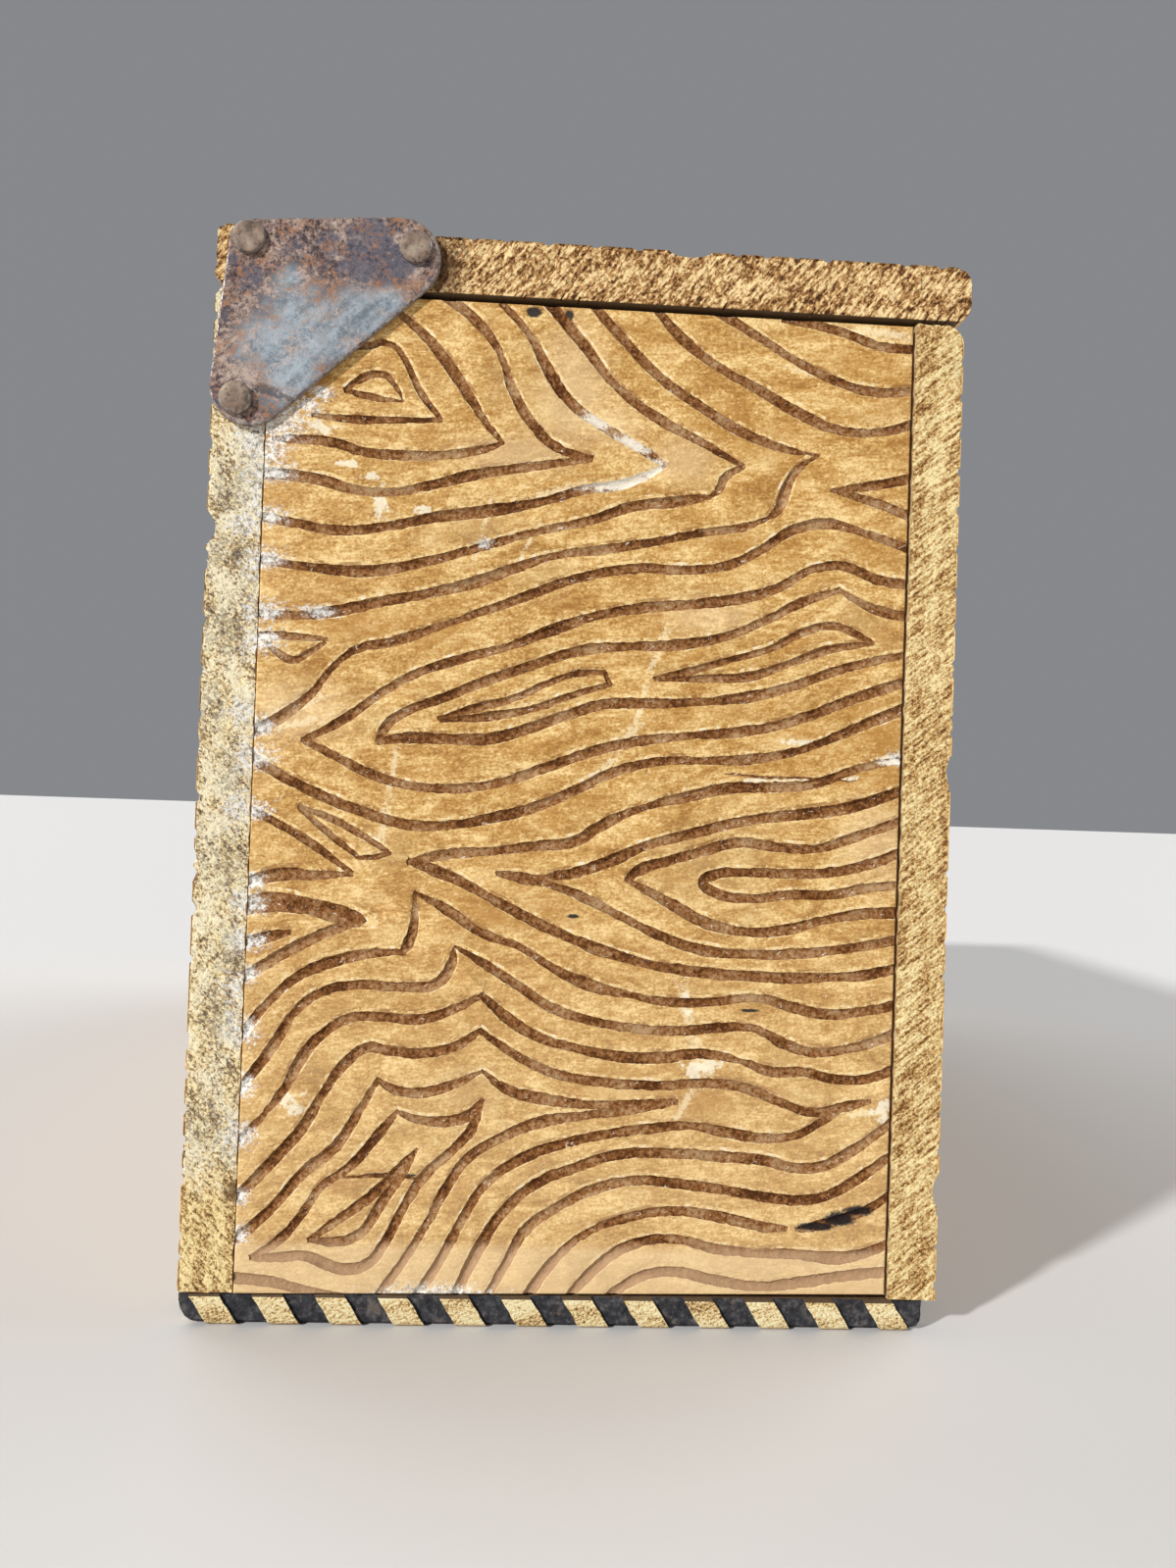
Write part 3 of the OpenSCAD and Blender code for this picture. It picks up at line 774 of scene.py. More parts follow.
def boardBlank(node, cell, rounds, skin, trim=(0, 0, 0), rough=None):
    low, high = (corner.copy() for corner in nodeBox[node])
    low.y += trim[0] * mm
    high.y -= trim[1] * mm
    high.z -= trim[2] * mm
    bm = bmesh.new()
    block = Matrix.Translation((low + high) / 2) @ Matrix.Diagonal((*(high - low), 1))
    bmesh.ops.create_cube(bm, size=1, matrix=block)
    for axis, sides, radius in rounds:  # edges along the axis, or along any, on these low or high sides
        edges = boardEdges(bm, low, high, axis, sides)
        bmesh.ops.bevel(bm, geom=edges, offset=radius * mm, segments=boardShape["roundSegments"],
                        profile=0.5,
                        affect="EDGES", material=-1)
    sliceUp(bm, low, high, cell, range(3))
    bm.normal_update()
    for face in bm.faces:
        face.material_index = skin(face.normal)
    if rough:
        roughEnds(bm, **rough)
    return bm


endRelief = {
    "cuts": 19, "sawTurn": 48, "across": 0.6, "teeth": 520, "serrated": 0.34,
    "endZone": 0.05, "rimZone": 0.02, "leastRelief": 0.1,
}


def roughEnds(bm, depth, along, lip=None):
    low = [min(vert.co[axis] for vert in bm.verts) for axis in range(3)]
    high = [max(vert.co[axis] for vert in bm.verts) for axis in range(3)]
    ends = [face for face in bm.faces if abs(face.normal.x) > 0.9]
    edges = list({edge for face in ends for edge in face.edges})
    bmesh.ops.subdivide_edges(bm, edges=edges, cuts=endRelief["cuts"], use_grid_fill=True)
    turn = Matrix.Rotation(math.radians(endRelief["sawTurn"]), 3, "X")
    for vert in bm.verts:
        if high[0] - abs(vert.co.x) > endRelief["endZone"] * mm:
            continue
        spot = turn @ (vert.co / mm)
        saw = noise.noise(Vector((spot.x, spot.y / endRelief["across"], spot.z / along)))
        grit = noise.noise(spot / endRelief["across"] + Vector((7, 3, 5)))
        outward = 1 if spot.x > 0 else -1
        full = 1
        if lip:  # a smooth roll along the foot
            full = min(1, max(endRelief["leastRelief"], (vert.co.z - low[2]) / (lip * mm) - 1))
        for axis in (1, 2):
            nick = 0.6 * noise.noise(vert.co * endRelief["teeth"]) + 0.4 * grit + 0.35
            for limit, inward in ((low[axis], 1), (high[axis], -1)):
                if abs(vert.co[axis] - limit) < endRelief["rimZone"] * mm:
                    vert.co[axis] += inward * max(0, nick) * endRelief["serrated"] * mm
        vert.co.x += outward * (0.5 * saw + 0.5 * grit - 0.5) * depth * full * mm


# Carving: each groove is a round-nosed cut along a smooth line

carving = {
    "width": 1.36, "depth": 0.50, "sides": 3, "sidesPerWidth": 1.5, "sharp": 38,
    "spacing": 0.45, "coarse": 1.1,  # of a cut's rings, on the near panel and elsewhere
    "wobble": 0.13, "wobblePace": 0.75, "shiver": 0.10, "shiverPace": 2.3, "shakeUp": 0.6,
    "vary": 0.55, "varyPace": 0.13,
    "tip": 0.64, "tipReach": 0.3,  # where a cut ends inside the face
    "edgeZone": 0.9, "overrun": 2.5,  # where it runs off the face
    "lip": 0.22, "lipDepth": 0.09, "lipRise": 0.21, "lipSpacing": 0.85,  # the worn edge beside a cut, painted pale: partly chipped varnish, partly a painted highlight
}


def strokeEnds(points, size, vary):
    points = [Vector(p) for p in points]
    pace = carving["varyPace"]
    radii = [1.0 + vary * noise.noise(Vector((p.x * pace, p.y * pace, 3.0))) for p in points]
    zone = carving["edgeZone"]
    for end, inner in ((0, 1), (-1, -2)):
        spot = points[end]
        onward = (spot - points[inner]).normalized()
        atEdge = spot.x < zone or spot.x > size[0] - zone or spot.y < zone or spot.y > size[1] - zone
        points[end] = spot + onward * (carving["overrun"] if atEdge else carving["tipReach"])
        radii[end] *= 1 if atEdge else carving["tip"]
    return points, radii


def sweepTube(points, radii, closed, spacing, radius, lift, sides):
    curve = bpy.data.curves.new("groove", "CURVE")
    curve.dimensions = "3D"
    curve.bevel_depth = radius
    curve.bevel_resolution = sides
    curve.use_fill_caps = True
    length = sum((Vector(b) - Vector(a)).length for a, b in zip(points, points[1:]))
    spline = curve.splines.new("BEZIER")
    spline.bezier_points.add(len(points) - 1)
    spline.resolution_u = max(1, round(length / (len(points) - 1) / spacing))
    spline.use_cyclic_u = closed
    for knot, spot, thick in zip(spline.bezier_points, points, radii):
        knot.co = (spot[0], spot[1], lift)
        knot.handle_left_type = knot.handle_right_type = "AUTO"
        knot.radius = thick
    holder = bpy.data.objects.new("groove", curve)
    bpy.context.scene.collection.objects.link(holder)
    mesh = bpy.data.meshes.new_from_object(holder.evaluated_get(bpy.context.evaluated_depsgraph_get()))
    bm = bmesh.new()
    bm.from_mesh(mesh)
    bmesh.ops.remove_doubles(bm, verts=bm.verts, dist=0.002)
    bpy.data.objects.remove(holder)
    bpy.data.curves.remove(curve)
    bpy.data.meshes.remove(mesh)
    return bm


def grooveCutter(cutters, face, paint, points, width, depth=None, closed=False, spacing=carving["coarse"],
                 flat=None):
    depth = depth or carving["depth"] * min(1, width / carving["width"])
    radius = (width * width / 4 + depth * depth) / (2 * depth)
    if flat:  # a shallow trough, pressed flat from a half round
        radius = depth = width / 2
    radii = [1.0] * len(points)
    if not closed:
        points, radii = strokeEnds(points, face["size"], carving["vary"] * min(1, 1.4 * depth / radius))
    sides = max(carving["sides"], round(carving["sidesPerWidth"] * width))
    bm = sweepTube(points, radii, closed, spacing, radius, radius - depth, sides)
    for vert in bm.verts:
        shake = noise.noise_vector(vert.co * carving["wobblePace"]) * carving["wobble"]
        shake += noise.noise_vector(vert.co * carving["shiverPace"]) * carving["shiver"]
        vert.co += Vector((shake.x, shake.y, shake.z * carving["shakeUp"]))
        if flat:
            vert.co.z *= flat / depth
    addCutter(cutters, bm, face["frame"], paint)


def addCutter(cutters, bm, place, paint):
    bmesh.ops.transform(bm, matrix=place, verts=bm.verts)
    bmesh.ops.recalc_face_normals(bm, faces=bm.faces)
    makePiece(bm, "cutter", [paint], cutters)


def carve(bm, name, skins, cutters):
    board = makePiece(bm, name, skins)
    blank = board.data
    bpy.context.scene.collection.children.link(cutters)
    cut = board.modifiers.new("carving", "BOOLEAN")
    cut.operation = "DIFFERENCE"
    cut.operand_type = "COLLECTION"
    cut.collection = cutters
    cut.solver = "MANIFOLD"
    cut.material_mode = "TRANSFER"
    done = bpy.data.meshes.new_from_object(board.evaluated_get(bpy.context.evaluated_depsgraph_get()))
    board.modifiers.clear()
    board.data = done
    bpy.data.meshes.remove(blank)
    for tool in list(cutters.objects):
        bpy.data.objects.remove(tool)
    bpy.data.collections.remove(cutters)
    done.name = name
    done.set_sharp_from_angle(angle=math.radians(carving["sharp"]))
    print(name, "carved:", len(done.polygons), "faces")
    return board


# Near end panel: the grain lines that the photo shows, (across, up) in millimetres, by width of cut

nearLines = {
    1.36: [
        # chevrons of the upper left, each an upper and a lower arm
        [(19.2, 143.5), (23.3, 140), (27.5, 134.8), (31.7, 128.6), (34.4, 125.5)],
        [(34.4, 125.4), (31.7, 124.4), (26.7, 123.3), (20.8, 122.9), (14.6, 123.1), (10.4, 124.2),
         (6, 124.5), (1.5, 124.4)],
        [(26.2, 146), (30.4, 142.9), (33.8, 138.3), (35.4, 133.8), (38.3, 129), (42.1, 125.3),
         (47.5, 123.8)],
        [(47.3, 123.7), (41.7, 122.7), (35.8, 121.6), (29.6, 120.3), (24, 118.6), (18.8, 117.4),
         (13.3, 117.5), (8.3, 118.7), (0.4, 119.3)],
        [(33.7, 146), (37.9, 141.5), (40.8, 136.5), (44.2, 131.9), (50, 128.1), (55.8, 125), (58.3, 123.4)],
        [(58.3, 123.2), (53.1, 120.5), (46.3, 119), (40, 116.9), (33.3, 115.4), (25, 114), (18, 112.3),
         (11, 111.4), (5, 112.2), (0.4, 112.9)],
        [(41, 146), (45.8, 140.6), (50.6, 134.9), (56.8, 130.4), (63.5, 127.1), (69.8, 123.9)],
        [(69.9, 123.8), (67.3, 121.9), (66.5, 120.2), (65, 118.9)],
        [(65.4, 119.1), (60.2, 118), (53.9, 117), (47.7, 114.6), (40, 112.6), (32.1, 110), (22.9, 107.1),
         (15, 105.6), (8, 105.8), (0.4, 106.7)],
        [(47.6, 146), (52.7, 140.6), (57.3, 136.3), (63.1, 132.5), (69.3, 129), (76, 126.7), (81, 126)],
        [(81, 125.9), (78.1, 123.8), (76.3, 120.4), (75.5, 117.8), (73.6, 115.9)],
        [(74.4, 116.3), (70, 114.6), (63.9, 113.5), (57.3, 111.9), (50, 110.4), (42.9, 109.2),
         (37.1, 107.1), (30.8, 104.6), (24.2, 102.7), (17.5, 101.2), (11.3, 99.6), (5, 98.7), (0, 99)],
        # arcs of the upper right
        [(56.8, 146), (60.6, 142.1), (65.6, 138.5), (71.8, 135.4), (78.1, 132.1), (83.5, 130),
         (89.3, 129.8), (95.8, 131.6)],
        [(66.8, 146), (71.8, 143.1), (77.7, 139.8), (83.5, 137.2), (89.3, 135.9), (95.8, 136.6)],
        [(77.5, 146), (84.3, 144.6), (89.8, 142.9), (95.8, 142.8)],
        [(95.8, 123.3), (89.3, 121.8), (83.4, 120.8)],
        [(83.4, 120.7), (89.3, 119.4), (95.8, 117.2)],
        # long waves of the middle
        [(95.8, 112.3), (87.7, 114.8), (82.7, 115.8), (77.7, 114.6), (73.1, 111.5), (68.5, 109),
         (62.3, 107.9), (54.8, 107.8), (46.3, 106), (37.1, 102.3), (27.5, 98.5), (20, 95.6), (14.2, 94),
         (10.8, 91), (8.3, 87.5), (4.5, 84.2), (0, 81.5)],
        [(95.8, 107.3), (91, 107.6), (85.2, 109.5), (81, 108.9), (75.2, 105.6), (69.3, 103.8),
         (62.7, 102.8), (56, 102), (49, 100.5), (42.5, 98.1), (36.7, 95.6), (30, 93.5), (23.3, 91),
         (18.8, 88.3), (12.5, 83.5), (7.3, 80.6)],
        [(7.3, 80.6), (11.7, 78.5), (17.1, 76), (22.9, 74.5), (29.2, 74.3), (35.8, 75.4), (42.1, 77.7),
         (50.2, 80.8), (56.4, 82.3), (63.1, 83.3), (69.8, 84), (75.6, 85.1), (81.4, 87.1), (87.3, 89.6),
         (95.8, 92.7)],
        [(95.8, 102.5), (91, 103), (84.8, 105.9)],
        [(84.8, 105.9), (79.3, 103.8), (73.5, 100.6), (67.7, 98.1), (61, 96.7), (54.3, 96.2), (47, 95.3),
         (39.6, 92.7), (32.9, 90.1), (27.1, 87.5), (22, 85.4), (19, 83), (18.1, 80.8)],
        [(18.1, 80.8), (22.5, 81.5), (28.3, 81.5), (34.6, 81.9), (39.6, 83.5), (45, 85.6), (50.8, 87.5),
         (58.5, 87.9), (65.6, 88.5), (71.8, 89.4), (77.7, 91), (83.5, 93.3), (89.3, 95.2), (95.8, 96.7)],
        [(0, 77.9), (4.6, 75.2), (10.4, 72.5), (16.3, 70.4), (22.5, 68.8), (29.2, 69), (35.4, 70.3),
         (40.8, 71.9), (46.7, 74.6), (52.3, 77.5), (58.9, 79.3), (65.6, 79.7), (72.3, 80.1), (78.1, 81.3),
         (82.7, 82.9), (87.7, 85.2), (95.8, 88.8)],
        [(23, 63.3), (28.3, 64.6), (35, 65.3), (41.7, 66.3), (46.6, 67), (51.3, 69.9), (56.4, 72.3),
         (63.1, 74.2), (69.8, 75.8), (76, 76), (82.3, 76.9), (88.3, 79.2), (95.8, 81)],
        [(23.1, 63.5), (26.8, 62.2), (30.4, 60.8), (34.2, 58.8), (37.9, 56.9), (42.2, 54.8), (46.5, 53),
         (50.1, 51.6), (54.5, 50.3), (59, 49.2), (63.5, 48.6), (69.4, 48.1), (75.3, 47.9), (79.8, 47.8),
         (85, 48.1), (90.2, 48.5), (95.8, 49.9)],
        [(42, 61.6), (47.1, 62.5), (52.3, 64.4), (57.7, 66.9), (63.1, 68.5), (69.3, 70.3), (75, 71.5),
         (81, 72.3), (86.8, 73.3), (95.8, 76.5)],
        [(42, 61.2), (48.3, 59), (54.8, 55.9), (60.6, 53.3), (66.4, 51.6), (73.1, 51.2), (79.8, 51.4),
         (85.6, 52.1), (95.8, 54)],
        [(54.8, 61.7), (56.5, 63.2), (60.6, 64.6), (66, 66.3), (71, 67.7), (76.8, 67.2), (82.7, 67.2),
         (88.1, 69), (95.8, 71.9)],
        [(54.8, 61.7), (61.4, 58.3), (66.8, 55.6), (72.3, 54.5), (78.1, 54.9), (83.9, 56.5), (89.8, 57.6),
         (95.8, 57.9)],
        [(95.8, 67.3), (90.6, 65.1), (84.8, 63.7), (78.1, 63.3), (71.8, 63.3), (67.6, 62.8), (66, 61.7),
         (67.7, 60.2), (72.7, 59.5), (79.3, 60.2), (85.2, 60.4), (90.2, 61.5), (95.8, 62.1)],
        # left edge, middle
        [(0, 70.2), (4.6, 68.1), (9.6, 65.2), (14.8, 61.5)],
        [(14.8, 61.4), (10, 61), (4.5, 60.9), (0, 59.4)],
        [(16.5, 54.4), (12.5, 53.1), (7.9, 50.8), (4, 48.5), (0.4, 46)],
        [(0.4, 50.9), (2.9, 51.7), (6.3, 52.6)],
        # peaks below the middle, right and left slopes
        [(24.2, 58.9), (28.8, 56.5), (33.8, 53.3), (39.6, 51.3), (44.6, 48.3), (49.6, 46.1), (56, 44.7),
         (61.8, 43.8), (67.7, 44), (75, 44.7), (79.5, 43.6), (84.3, 42.6), (90.2, 43.1), (95.8, 44.4)],
        [(24, 58.8), (24.1, 54.5), (23.4, 51.5), (22.6, 50.2)],
        [(22.8, 50.2), (17.9, 49.8), (12.1, 48.3), (7.9, 46.3), (4.2, 42.9), (1.3, 39.2), (0, 37.1)],
        [(30.2, 51.2), (35, 48.4), (40, 45.3), (44.6, 42.5), (50.4, 40.8), (56, 39.9), (63, 39.6),
         (69, 40.2), (74, 40.3), (78.5, 38.2), (83, 36.9), (87.7, 37.4), (91.8, 38.5), (95.8, 40.2)],
        [(30, 51.1), (29.6, 48.4), (27.6, 45.7), (22.5, 45.1), (15.8, 45.2), (10.8, 43.8), (7.3, 40.8),
         (5, 36.7), (0.2, 29.8)],
        [(34.3, 44.2), (37.9, 41), (42.5, 38.3), (48.3, 36.7), (55, 35.6), (60.5, 35.6), (66.5, 36.3),
         (72.3, 35.4), (77, 33.9), (82, 33.9), (86.4, 33), (91.4, 33.2), (95.8, 35)],
        [(34.1, 44.1), (30.4, 42.1), (25.4, 40.4), (19.6, 40.7), (15.5, 40.4), (11.3, 37.7), (8.8, 34.6),
         (6.7, 30.4), (3.8, 26.3), (0.4, 22.5)],
        [(34.2, 38.9), (40.4, 35), (45.8, 32.8), (52.5, 31.8), (60, 31.5), (68.5, 32), (73.5, 31.3),
         (78.5, 29.4), (83.5, 28), (88.5, 29), (91.8, 29.8)],
        [(34, 38.8), (30.4, 36.5), (25.4, 35.5), (21, 35.8), (18, 36.1), (15, 33.8), (12.1, 29.6),
         (9.4, 24.6), (5.8, 20.2), (0, 13.8)],
        [(34.7, 33.1), (38.3, 30.5), (43.8, 29.2), (50, 28.5), (57, 28.7), (63.1, 29.2)],
        [(34.5, 33), (30.4, 31), (25.4, 29.7), (22, 30.2), (19.7, 31.5)],
        [(19.7, 31.5), (17.1, 26.7), (14, 21.7), (9.6, 17.9), (6.3, 13.8), (2.1, 9.6), (0.2, 8.1)],
        # diamond of the lower left
        [(22.7, 26.9), (26, 25.8), (30, 25.7), (33, 26.6), (34.8, 28.8)],
        [(34.7, 28.6), (33.4, 24.6), (31, 21.7), (26.7, 17.5), (23.8, 12.5), (21.5, 7.9), (19.4, 5),
         (16.7, 4), (13.5, 4.6), (10.4, 5.8), (6.5, 5.6), (2.7, 5.5)],
        [(2.8, 5.6), (6.3, 7.9), (9.6, 11.9), (12.1, 15.8), (16, 18.7), (20.4, 24), (22.6, 26.9)],
        [(25.6, 21.4), (23.2, 18.4), (19.8, 15), (14.6, 11), (10.9, 8.2)],
        [(10.9, 8.2), (15, 8), (18, 9.2), (20.8, 13.5), (23.3, 17.5), (25.4, 21)],
        [(0, 2.5), (5.4, 2.1), (10.8, 0.8), (14.5, 0.1)],
        # long waves of the lower right
        [(20.7, 0), (24.6, 5.8), (27.5, 10.8), (30, 15.8), (32.9, 20.2), (37.9, 23.5), (43.3, 25.8),
         (50, 26.9), (56, 27.8), (62, 28.8)],
        [(26.2, 0), (30, 6.3), (32.9, 12.1), (35.8, 16.7), (40.8, 20.4), (46.7, 22.7), (53, 24.2),
         (59.8, 25.2), (65.2, 25.7), (70.6, 24.8), (75.6, 24.1), (80.6, 24.5), (84.8, 26.7), (87.4, 28.4)],
        [(31.8, 0), (35, 7.1), (38.3, 12.5), (42.9, 16.7), (48.8, 19.3), (54.6, 21.2), (62, 21.6),
         (70.2, 21.2), (76, 20.8), (81.4, 19.7), (85, 20.1), (88.9, 22.1), (92.5, 24.6), (95.8, 27.5)],
        [(36.4, 0), (39.4, 5.8), (41.7, 10), (46.3, 13.5), (51.5, 16.1), (57.3, 17.5), (63.9, 17.1),
         (70.6, 16.3), (76.4, 15.4), (82.3, 15), (86, 15.8), (90.5, 18.4), (95.8, 22.3)],
        [(42.2, 0), (45.8, 5.4), (50.6, 9.7), (56.8, 12.1), (63.5, 13.1), (70.2, 12.3), (76.4, 11),
         (79.8, 10.7)],
        [(81.6, 10.6), (84.8, 11.3), (88.5, 12.4), (92, 13.8), (95.8, 16.6)],
        [(48.2, 0), (52.3, 4.8), (57.3, 8.1), (63.5, 9), (69.3, 7.7), (75.2, 7.1), (81.4, 7), (87.3, 6.5),
         (91.5, 7.2), (95.8, 9.2)],
        [(53.8, 0), (58.5, 3.3), (63, 4.2), (69.8, 3), (76, 2.2), (82.7, 2.9), (88.5, 3.8), (95.8, 4.6)],
    ],
    1.10: [
        # eyes and narrow leaves
        [(25.3, 128.5), (22.5, 132), (20, 136.7), (18.6, 138.6), (17, 139.3), (14.8, 138.8), (12, 138.4)],
        [(25.3, 128.3), (20.8, 128.1), (13.3, 127.8), (7, 128.1)],
        [(57.9, 91.7), (63.1, 92.9), (68.9, 94.8), (74.8, 96.7), (80, 99.5), (84, 100.5), (87.5, 99.5),
         (90.2, 98.2)],
        [(90.2, 98.1), (83.5, 96.9), (77.7, 94.6), (71.8, 92.4), (65.6, 91.9), (58.1, 91.4)],
        [(26.7, 84.5), (32.1, 86.3), (37.5, 87.9), (42.1, 90.2), (46.3, 91.8), (50.4, 92.2)],
        [(50.6, 92), (51.3, 90.5)],
        [(51.2, 90.4), (46.3, 88.8), (40.4, 86.5), (34.2, 85.1), (27, 84.2)],
        [(35.9, 62.2), (38.8, 61.8), (42.6, 61.5)],
        [(36, 61.9), (39.5, 61.2), (43.4, 60.6)],
        [(0.5, 95.5), (3, 95.7), (6, 95.6), (10, 95.4)],
    ],
    1.00: [
        [(11.5, 132.1), (14, 134), (16.9, 134.6), (18.4, 133.3), (19.7, 131.1)],
        [(11.6, 132), (15.2, 131.2), (19.6, 130.9)],
        [(7.2, 70.8), (11.7, 69.3), (16.7, 66.7), (20.2, 64.5)],
        [(7.3, 70.6), (10.4, 67.9), (13.4, 65.6), (15.8, 63.8)],
        [(15.7, 63.8), (18, 63.9), (20.2, 64.5)],
        [(1.8, 94.3), (3.6, 92.9), (5.5, 92.2), (7.5, 93.3), (9.8, 94.9)],
    ],
    2.40: [
        [(0.3, 56.3), (4, 56.9), (8.5, 56.5), (12.5, 55.6), (15.5, 54.8), (18.7, 54.4)],
    ],
    0.40: [
        [(14.5, 17.2), (18, 17.5), (22, 17.6), (26.8, 17.1)],
        [(69, 77.9), (75, 77.5), (81, 77.6), (88, 77.4)],
        [(73.5, 76.7), (79, 76.9), (84.5, 77.2)],
    ],
}


nearPanel = {
    "widen": 1.01, "across": -0.2, "up": -0.27, "broad": 1.18,  # sets the lines on the photo's grooves
    "gaps": (0.38, 0.06, 0.12),  # beside the front and the back board, and below the lid
    "footGap": 0.85,  # opens towards the front
    "edge": 0.3, "thinnestLip": 0.5,
}


def panelRounds(side):
    return [(0, {}, nearPanel["edge"]), (1, {0: side}, nearPanel["edge"]),
            (2, {0: side}, nearPanel["edge"])]


def makeNearPanel():
    node = "left_end_panel"
    bm = boardBlank(node, boardShape["panelCell"], panelRounds(0),
                    lambda normal: 0 if normal.x < -0.5 else 1,
                    nearPanel["gaps"])
    low, high = nodeBox[node]
    for vert in bm.verts:
        if vert.co.z - low.z < 1 * mm:
            vert.co.z += nearPanel["footGap"] * mm * (high.y - vert.co.y) / (high.y - low.y)
    cutters = bpy.data.collections.new("cutters")
    for traceWidth, lines in nearLines.items():
        width = traceWidth * nearPanel["broad"]
        for traced in lines:
            line = [(u * nearPanel["widen"] + nearPanel["across"], v + nearPanel["up"]) for u, v in traced]
            grooveCutter(cutters, faces[node], paints["nearGroove"], line, width,
                         spacing=carving["spacing"])
            if width > nearPanel["thinnestLip"]:
                raised = [(u, v + carving["lipRise"]) for u, v in line]
                grooveCutter(cutters, faces[node], paints["nearEdge"], raised, width + 2 * carving["lip"],
                             spacing=carving["lipSpacing"], flat=carving["lipDepth"])
    panel = carve(bm, "nearEndPanel", [paints["nearPanel"], paints["insideEnd"]], cutters)
    settle(panel, "box", node)


makeNearPanel()


# Grain lines of the other faces: rings at even steps round pointed eyes, in millimetres

grain = {
    "spacing": 5.0, "first": 2.0, "cell": 1.5, "margin": 3.0, "knot": 1.9, "fewestKnots": 5,
    "along": 0.36, "point": 1.25, "blend": 3.2,
    "sway": (16.0, 11.0), "swaySize": (70, 42), "ripple": (2.0, 1.6), "rippleSize": (24, 15),
}


def grainHeight(u, v, eyes):
    sway = noise.noise_vector(Vector((u / grain["swaySize"][0], v / grain["swaySize"][1], 7.3)))
    ripple = noise.noise_vector(Vector((u / grain["rippleSize"][0], v / grain["rippleSize"][1], 1.7)))
    u += sway.x * grain["sway"][0] + ripple.x * grain["ripple"][0]
    v += sway.y * grain["sway"][1] + ripple.y * grain["ripple"][1]
    total = 0.0
    for eyeU, eyeV, half, lean, start in eyes:
        along = max(abs(u - eyeU) - half, 0.0) * grain["along"]
        across = abs(v - eyeV - (u - eyeU) * lean)
        reach = (along ** grain["point"] + across ** grain["point"]) ** (1 / grain["point"]) + start
        total += math.exp(-reach / grain["blend"])
    return -grain["blend"] * math.log(total)


def chains(edges):
    links = {}
    for edge in edges:
        a, b = edge.verts
        links.setdefault(a, []).append(b)
        links.setdefault(b, []).append(a)
    used = set()
    lines = []
    for start in sorted(links, key=lambda vert: len(links[vert])):  # loose ends first, closed loops last
        if start in used:
            continue
        line = [start]
        used.add(start)
        while True:
            onward = [vert for vert in links[line[-1]] if vert not in used]
            if not onward:
                break
            line.append(onward[0])
            used.add(onward[0])
        lines.append(([vert.co.xy.copy() for vert in line], len(links[start]) == 2))
    return lines


def thinOut(points, closed):
    kept = [points[0]]
    for point in points[1:]:
        if (point - kept[-1]).length > grain["knot"]:
            kept.append(point)
    if not closed:
        kept[-1] = points[-1]
    return kept


def grainLines(size, eyes):
    width, height = (side + 2 * grain["margin"] for side in size)
    bm = bmesh.new()
    place = Matrix.Translation((size[0] / 2, size[1] / 2, 0)) @ Matrix.Diagonal((width, height, 1, 1))
    bmesh.ops.create_grid(bm, x_segments=round(width / grain["cell"]),
                          y_segments=round(height / grain["cell"]),
                          size=0.5, matrix=place)
    bmesh.ops.triangulate(bm, faces=bm.faces)
    for vert in bm.verts:
        vert.co.z = grainHeight(vert.co.x, vert.co.y, eyes)
    heights = [vert.co.z for vert in bm.verts]
    lowest = math.ceil(min(heights) / grain["spacing"])
    highest = math.floor(max(heights) / grain["spacing"])
    lines = []
    for i in range(lowest, highest + 1):
        level = i * grain["spacing"] + grain["first"]
        cut = bmesh.ops.bisect_plane(bm, geom=bm.verts[:] + bm.edges[:] + bm.faces[:], dist=1e-5,
                                     plane_co=(0, 0, level), plane_no=(0, 0, 1))["geom_cut"]
        for points, closed in chains([item for item in cut if isinstance(item, bmesh.types.BMEdge)]):
            kept = thinOut(points, closed)
            if len(kept) >= grain["fewestKnots"]:
                lines.append((kept, closed))
    bm.free()
    return lines


# Brads sit in round holes, a little below the wood

bradHole = {"radius": 1.35, "depth": 1.7, "segments": 20, "headsBelow": 20}


def solidBoxes(node):
    bm = bmesh.new()
    bm.from_mesh(frame["nodes"][node].data)
    bmesh.ops.remove_doubles(bm, verts=bm.verts, dist=1e-7)
    left = set(bm.verts)
    boxes = []
    while left:
        todo = [left.pop()]
        group = list(todo)
        while todo:
            near = {vert for edge in todo.pop().link_edges for vert in edge.verts} & left
            left -= near
            todo.extend(near)
            group.extend(near)
        low = Vector([min(vert.co[axis] for vert in group) for axis in range(3)])
        high = Vector([max(vert.co[axis] for vert in group) for axis in range(3)])
        boxes.append((low, high))
    bm.free()
    return sorted(boxes, key=lambda pair: tuple(pair[0]))


def longAxis(size):
    return max(range(3), key=lambda axis: size[axis])


def bradHoles(cutters, node, axis, paint):
    radius = bradHole["radius"] * mm
    for low, high in solidBoxes(node):
        if longAxis(high - low) != axis:
            continue
        place = (low + high) / 2
        place[axis] = low[axis] if place[axis] < bradHole["headsBelow"] * mm else high[axis]  # the head's end
        bm = bmesh.new()
        bmesh.ops.create_cone(bm, cap_ends=True, segments=bradHole["segments"], radius1=radius,
                              radius2=radius,
                              depth=bradHole["depth"] * mm)
        turn = unit(axis).to_track_quat("Z", "Y").to_matrix().to_4x4()
        addCutter(cutters, bm, Matrix.Translation(place) @ turn, paint)


# Boards: eyes are across, up, half length, lean and head start; scars are points, width and depth

def nicks(start, middle, end, rows):
    return [([(start, at), (middle, at + 0.1), (end, at)], wide, deep) for at, wide, deep in rows]


